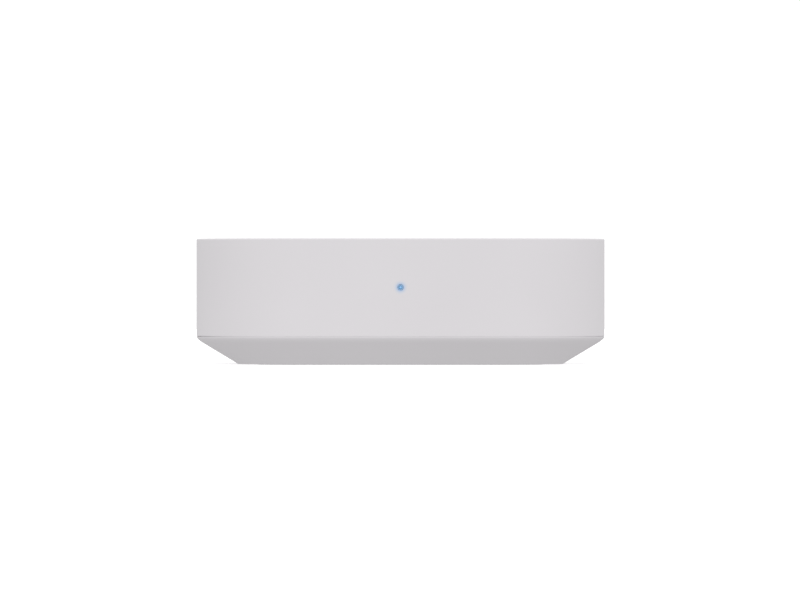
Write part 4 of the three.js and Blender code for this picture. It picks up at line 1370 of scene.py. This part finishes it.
def chip_body(low, high, edge=0.07):
    """A moulded block whose sides lean in towards its top, with a round mark in one corner."""
    mesh = block(low, high, edge)
    middle = (low + high) / 2
    for vertex in mesh.vertices:
        if vertex.co.z > middle.z:
            vertex.co.x -= math.copysign(CHIP_LEAN, vertex.co.x - middle.x)
            vertex.co.y -= math.copysign(CHIP_LEAN, vertex.co.y - middle.y)
    mark = round_hole(low.x + 1.1, high.y - 1.1, high.z - 0.08, high.z + 1, 0.35, 20)
    return combine(mesh, mark)


def leg_rows(low, high, count, pitch, width, reach, sides="Y"):
    """Two rows of bent legs on opposite sides of a chip, inside the chip's box."""
    middle = (low + high) / 2
    rise = (high.z - low.z) * 0.45
    knee, heel, thick = reach * 0.35, reach * 0.6, LEG_THICKNESS
    outline = [(-0.3, rise), (knee, rise), (heel, thick), (reach, thick),
               (reach, 0), (heel - 0.1, 0), (knee - 0.1, rise - thick), (-0.3, rise - thick)]
    span = (high.y - low.y if sides == "Y" else high.x - low.x) / 2 - reach
    legs = []
    for side in (-1, 1):
        for index in range(count):
            place = (index - (count - 1) / 2) * pitch
            legs.append(skin([[(place + edge, side * (span + out), up) for out, up in outline]
                              for edge in (-width / 2, width / 2)]))
    turn = Matrix.Rotation(math.radians(90), 4, "Z") if sides == "X" else Matrix.Identity(4)
    return placed(merge(legs), (middle.x, middle.y, low.z), turn)


# %% [markdown]
# The processor and the two memories sit on thin green carriers of their own. The flash memory and the network
# transformer stand on two rows of tinned legs instead, so their bodies are a little smaller than their boxes.

# %% Make the chips
CARRIER = 0.35
carrier_green = moulded_plastic("carrier_green", (0.012, 0.075, 0.040), 0.4, 0.15, 0.003)
for name, margin in (("processor_chip", 1.0), ("memory_chip_1", 0.0), ("memory_chip_2", 0.0)):
    low, high = box_of(name)
    carrier_top = low.z + CARRIER
    carrier = block(low, (high.x, high.y, carrier_top), 0.05)
    inset = Vector((margin, margin, 0))
    body = chip_body(Vector((low.x, low.y, carrier_top)) + inset, high - inset)
    add_piece(name + "_carrier", carrier, carrier_green)
    add_piece(name + "_body", body, chip_black, stands_for=[name])

for name, count, pitch, width, reach, sides in (
        ("flash_chip", 24, 0.5, 0.22, 1.0, "X"), ("ethernet_transformer", 12, 1.2, 0.4, 1.1, "Y")):
    low, high = box_of(name)
    inset = Vector((reach, 0, 0)) if sides == "X" else Vector((0, reach, 0))
    lift = Vector((0, 0, 0.1))
    add_piece(name + "_body", chip_body(low + inset + lift, high - inset), chip_black,
              stands_for=[name])
    legs = leg_rows(low, high, count, pitch, width, reach, sides)
    add_piece(name + "_legs", legs, tinned_steel)

# %% [markdown]
# ## Coil and capacitors
#
# The coil is a square block of pressed ferrite on two broad terminals. Each capacitor is an aluminium can on
# a black base. The can has a crimped groove near its foot, which is part of its turned profile, and a cross
# is scored into its top so that it can vent.

# %% Make the coil and the capacitors
coil_low, coil_high = box_of("power_inductor")
ferrite_grey = moulded_plastic("ferrite_grey", (0.075, 0.075, 0.080), 0.6, 0.25, 0.012)
coil_body = block(coil_low + Vector((0.15, 0.15, 0.2)), coil_high - Vector((0.15, 0.15, 0)), 0.45, 4)
coil_ends = [block((x, coil_low.y + 1.6, coil_low.z), (x + 1.5, coil_high.y - 1.6, coil_low.z + 1.2), 0.08)
             for x in (coil_low.x, coil_high.x - 1.5)]
add_piece("power_coil_body", coil_body, ferrite_grey, stands_for=["power_inductor"])
add_piece("power_coil_terminals", merge(coil_ends), tinned_steel)


def can_profile(radius, height):
    """Foot, crimped groove, straight side and rounded shoulder of a capacitor's can."""
    foot = [(0, 0.9), (radius - 0.2, 0.9), (radius, 1.1), (radius, 1.8)]
    crimp = [(radius - 0.12, 1.95), (radius - 0.22, 2.15), (radius - 0.22, 2.3),
             (radius - 0.12, 2.5), (radius, 2.65)]
    shoulder = [(radius - 0.4 + 0.4 * math.cos(a), height - 0.4 + 0.4 * math.sin(a))
                for a in (math.radians(step * 22.5) for step in range(5))]
    return [*foot, *crimp, *shoulder, (0, height)]


for name in ("capacitor_1", "capacitor_2"):
    low, high = box_of(name)
    middle = (low + high) / 2
    radius = (high.x - low.x) / 2
    can = placed(turned(can_profile(radius - 0.1, high.z - low.z), 64), (middle.x, middle.y, low.z))
    score = [block((middle.x - a, middle.y - b, high.z - 0.12), (middle.x + a, middle.y + b, high.z + 1))
             for a, b in ((1.7, 0.12), (0.12, 1.7))]
    add_piece(name + "_can", combine(combine(can, score[0]), score[1]), can_aluminium,
              stands_for=[name])
    base = block(low, (high.x, high.y, low.z + 0.9), 0.12)
    add_piece(name + "_base", base, nylon_black)

# %% [markdown]
# ## Heat sink
#
# The heat sink is extruded aluminium: a base plate and eight fins with rounded tips. Two corners are milled
# clear for the sprung pins that press the sink down. Fins are blocks joined to the plate, and the milling is
# a cut, in the same order as on the real part.

# %% Make the heat sink
FIN_COUNT = 8
FIN_THICKNESS = 1.3
SINK_BASE = 2.5
PIN_INSET = 3.2
PIN_HOLE = 1.7
PIN_HEAD = 2.9
sink_low, sink_high = box_of("heat_sink")
sink_middle = (sink_low + sink_high) / 2
sink_top_of_base = sink_low.z + SINK_BASE
fin_pitch = (sink_high.x - sink_low.x - FIN_THICKNESS) / (FIN_COUNT - 1)
fins = [block((sink_low.x + index * fin_pitch, sink_low.y, sink_top_of_base - 0.5),
              (sink_low.x + index * fin_pitch + FIN_THICKNESS, sink_high.y, sink_high.z), 0.3, 3)
        for index in range(FIN_COUNT)]
sink = combine(block(sink_low, (sink_high.x, sink_high.y, sink_top_of_base), 0.2), merge(fins), "UNION")
pin_reach = (sink_high.x - sink_low.x) / 2 - PIN_INSET
clear = PIN_HEAD + PIN_INSET
for side in (-1, 1):
    x, y = sink_middle.x + side * pin_reach, sink_middle.y - side * pin_reach
    near_x, near_y = x - side * PIN_HEAD, y + side * PIN_HEAD
    far_x, far_y = near_x + side * (clear + 1), near_y - side * (clear + 1)
    milled = block((min(near_x, far_x), min(near_y, far_y), sink_top_of_base),
                   (max(near_x, far_x), max(near_y, far_y), sink_high.z + 1))
    sink = combine(combine(sink, milled), round_hole(x, y, sink_low.z - 1, sink_high.z, PIN_HOLE, 32))
add_piece("heat_sink_extrusion", sink, sink_aluminium, stands_for=["heat_sink"])

# %% [markdown]
# The pins are nylon, with a split barb that snaps in under the board. A coil spring under each head presses
# on the sink. The pin is a turned profile with one cut, and the spring is a helix drawn as round wire.

# %% Make the sprung pins
PIN_SHANK = 1.4
HEAD_HEIGHT = 1.2
SPRING_WIRE = 0.22
SPRING_TURNS = 3.5


def pin_shape(length):
    """A pin standing on z = 0, from its barb up to its domed head."""
    neck = length - HEAD_HEIGHT
    return [(0, 0), (PIN_SHANK * 0.5, 0), (PIN_SHANK * 0.6, 0.1), (2.0, 1.65), (1.95, 1.75), (PIN_SHANK, 1.8),
            (PIN_SHANK, neck), (PIN_HEAD - 0.1, neck), (PIN_HEAD, neck + 0.1), (PIN_HEAD, neck + 0.5),
            (PIN_HEAD * 0.9, neck + 0.75), (PIN_HEAD * 0.6, neck + 1.05), (0, length)]


for number in (1, 2):
    low, high = box_of(f"heat_sink_pin_{number}")
    middle = (low + high) / 2
    pin = placed(turned(pin_shape(high.z - low.z)), (middle.x, middle.y, low.z))
    split = block((middle.x - 0.3, middle.y - 3, low.z - 1), (middle.x + 0.3, middle.y + 3, low.z + 3.6))
    add_piece(f"sprung_pin_{number}", combine(pin, split), nylon_black,
              stands_for=[f"heat_sink_pin_{number}"])
    spring_low, spring_high = box_of(f"pin_spring_{number}")
    coil_radius = (PIN_HOLE + PIN_HEAD) / 2 - 0.1
    coil = []
    for step in range(int(SPRING_TURNS * 24) + 1):
        turn = 2 * math.pi * step / 24
        rise = step / (SPRING_TURNS * 24) * (spring_high.z - spring_low.z - 2 * SPRING_WIRE)
        coil.append((middle.x + coil_radius * math.cos(turn), middle.y + coil_radius * math.sin(turn),
                     spring_low.z + SPRING_WIRE + rise))
    add_piece(f"coil_spring_{number}", wire(coil, SPRING_WIRE), spring_steel,
              stands_for=[f"pin_spring_{number}"], sharpest=60)

# %% [markdown]
# ## Radio module
#
# The radio is a small board of its own under a drawn steel can. The can has soft corners and a raised panel
# on its lid, which stiffens it. Each of these is a rounded rectangle, so the can is one more stack of loops.

# %% Make the radio module
radio_low, radio_high = box_of("wifi_module")
RADIO_BOARD = 0.6


def can_loop(inset, radius, height):
    """A rounded rectangle inside the module's box."""
    outline = rounded(radio_low.x + inset, radio_low.y + inset,
                      radio_high.x - inset, radio_high.y - inset, radius)
    return [(x, y, height) for x, y in outline]


radio_foot = radio_low.z + RADIO_BOARD
radio_top = radio_high.z
radio_can = skin([can_loop(0.4, 0.6, radio_foot), can_loop(0.4, 0.6, radio_top - 0.35),
                  can_loop(0.47, 0.55, radio_top - 0.2), can_loop(0.62, 0.45, radio_top - 0.1),
                  can_loop(1.3, 0.4, radio_top - 0.1), can_loop(1.5, 0.4, radio_top)])
add_piece("radio_can", radio_can, tinned_steel, stands_for=["wifi_module"])
radio_board = block(radio_low, (radio_high.x, radio_high.y, radio_foot), 0.05)
add_piece("radio_board", radio_board, carrier_green)

# %% [markdown]
# ## Screws
#
# A screw is a turned profile: a threaded shank as a row of fine ridges, and a pan head whose drive is cut by
# two crossed bars. The case screws point up and the board screws point down, so one shape serves both.

# %% Make the screws
THREAD_PITCH = 0.6
SCREW_HEAD = 1.5
HEAD_RATIO = 1.8


def screw_shape(radius, length):
    """A screw with the underside of its head at z = 0 and its shank below."""
    head = radius * HEAD_RATIO
    core = radius * 0.78
    profile = [(0, -length), (core * 0.6, -length + 0.1)]
    for ridge in range(int((length - 1.2) / THREAD_PITCH)):
        start = -length + 0.4 + ridge * THREAD_PITCH
        crest = start + THREAD_PITCH * 0.45
        profile += [(core, start), (radius, crest), (radius, start + THREAD_PITCH * 0.55)]
    profile += [(core, -0.6), (radius, -0.4), (radius, 0)]
    profile += [(head - 0.12, 0), (head, 0.12), (head, SCREW_HEAD * 0.55)]
    profile += [(head * 0.9, SCREW_HEAD * 0.8), (head * 0.7, SCREW_HEAD), (0, SCREW_HEAD)]
    shape = turned(profile, 40)
    for across, along in ((head * 0.55, radius * 0.22), (radius * 0.22, head * 0.55)):
        shape = combine(shape, block((-across, -along, SCREW_HEAD * 0.35), (across, along, SCREW_HEAD + 1)))
    return shape


def add_screw(node, name, radius, finish, head_down):
    low, high = box_of(node)
    seat = low.z + SCREW_HEAD if head_down else high.z - SCREW_HEAD
    turn = Matrix.Rotation(math.pi, 4, "X") if head_down else None
    shape = screw_shape(radius, high.z - low.z - SCREW_HEAD)
    add_piece(name, placed(shape, ((low.x + high.x) / 2, (low.y + high.y) / 2, seat), turn), finish,
              stands_for=[node], sharpest=30)


for number in range(1, 5):
    add_screw(f"case_screw_{number}", f"long_case_screw_{number}", 1.3,
              blackened_steel, head_down=True)
    add_screw(f"board_screw_{number}", f"short_board_screw_{number}", 1.0,
              tinned_steel, head_down=False)

# %% [markdown]
# ## Small parts on the board
#
# Between the chips a board carries dozens of tiny resistors and capacitors, set in short rows. Each is a
# ceramic block with tinned ends. Placing them one by one would be slow and would look too neat. Rows are
# tried at random places instead, with the random numbers seeded so that every run gives the same board, and
# a part is only kept where nothing else stands.

# %% Scatter the small parts
ROW_TRIES = 90
PART_LENGTH = 1.5
PART_WIDTH = 0.8
PART_HEIGHT = 0.6
CLEARANCE = 0.7
BOARD_REACH = 41.0
BOARD_BACK = 33.0
CORNER_MARGIN = 8
ROW_PITCH = 1.6
CAP_HALF = 0.12
POST_KEEP_OUT = 4.4
random.seed(11)
ceramic_tan = moulded_plastic("ceramic_tan", (0.34, 0.24, 0.15), 0.5, 0.2, 0.003, 0.2)
standing = [box_of(name) for name in frame["nodes"]
            if name not in ("top_shell", "base_shell", "foot_pad", "port_panel", "main_board")]
blocked = [(low.x, low.y, high.x, high.y) for low, high in standing
           if low.z < board_high.z + PART_HEIGHT + 0.3 and high.z > board_high.z]
blocked += [(x - POST_KEEP_OUT, y - POST_KEEP_OUT, x + POST_KEEP_OUT, y + POST_KEEP_OUT)
            for x, y in screw_places]


def is_free(x, y):
    reach = PART_LENGTH / 2 + CLEARANCE
    if max(abs(x), -y) > BOARD_REACH or y > BOARD_BACK:
        return False
    straight = HALF_WIDTH - CORNER_RADIUS
    corner = math.hypot(max(0, abs(x) - straight), max(0, abs(y) - straight))
    if corner > CORNER_RADIUS - CORNER_MARGIN:
        return False
    return all(x + reach < left or x - reach > right or y + reach < front or y - reach > back
               for left, front, right, back in blocked)


bodies, ends = [], []
for _ in range(ROW_TRIES):
    start = (random.uniform(-BOARD_REACH, BOARD_REACH), random.uniform(-BOARD_REACH, BOARD_BACK))
    across = random.random() < 0.5
    for index in range(random.randint(2, 5)):
        along = index * ROW_PITCH
        x, y = (start[0], start[1] + along) if across else (start[0] + along, start[1])
        if not is_free(x, y):
            continue
        half = (PART_LENGTH / 2, PART_WIDTH / 2) if across else (PART_WIDTH / 2, PART_LENGTH / 2)
        body_half = [side - (0.25 if side > PART_WIDTH / 2 else 0.03) for side in half]
        floor_z, top_z = board_high.z, board_high.z + PART_HEIGHT
        bodies.append(block((x - body_half[0], y - body_half[1], floor_z),
                            (x + body_half[0], y + body_half[1], top_z), 0.03, 1))
        for side in (-1, 1):
            shift = (side * (half[0] - CAP_HALF), 0) if across else (0, side * (half[1] - CAP_HALF))
            thick = (CAP_HALF, half[1]) if across else (half[0], CAP_HALF)
            middle = (x + shift[0], y + shift[1])
            ends.append(block((middle[0] - thick[0], middle[1] - thick[1], floor_z),
                              (middle[0] + thick[0], middle[1] + thick[1], top_z + 0.03), 0.04, 1))
        blocked.append((x - half[0], y - half[1], x + half[0], y + half[1]))
add_piece("small_ceramic_bodies", merge(bodies), ceramic_tan)
add_piece("small_tinned_ends", merge(ends), tinned_steel)
print("small parts:", len(bodies))

# %% [markdown]
# ## Nodes of the frame that stay
#
# A few nodes are already the right shape: the flat board, the light source, a block of gap pad, the antenna
# strips with their cables and plugs, and the switch. They stay in the scene as they are, and only take a
# finish.

# %% Give the nodes that stay their finish
NODE_FINISHES = {
    board_finish: ["main_board"],
    led_plastic: ["status_led"],
    gap_pad: ["thermal_pad"],
    nylon_black: ["reset_switch"],
    button_grey: ["switch_plunger"],
    strip_brass: ["antenna_left", "antenna_right", "antenna_plug_left", "antenna_plug_right"],
    cable_jacket: ["antenna_cable_left", "antenna_cable_right"],
}
for finish, names in NODE_FINISHES.items():
    for name in names:
        mesh = frame["nodes"][name].data
        mesh.materials.clear()
        mesh.materials.append(finish)
print("finished", sum(len(names) for names in NODE_FINISHES.values()), "nodes of the frame")
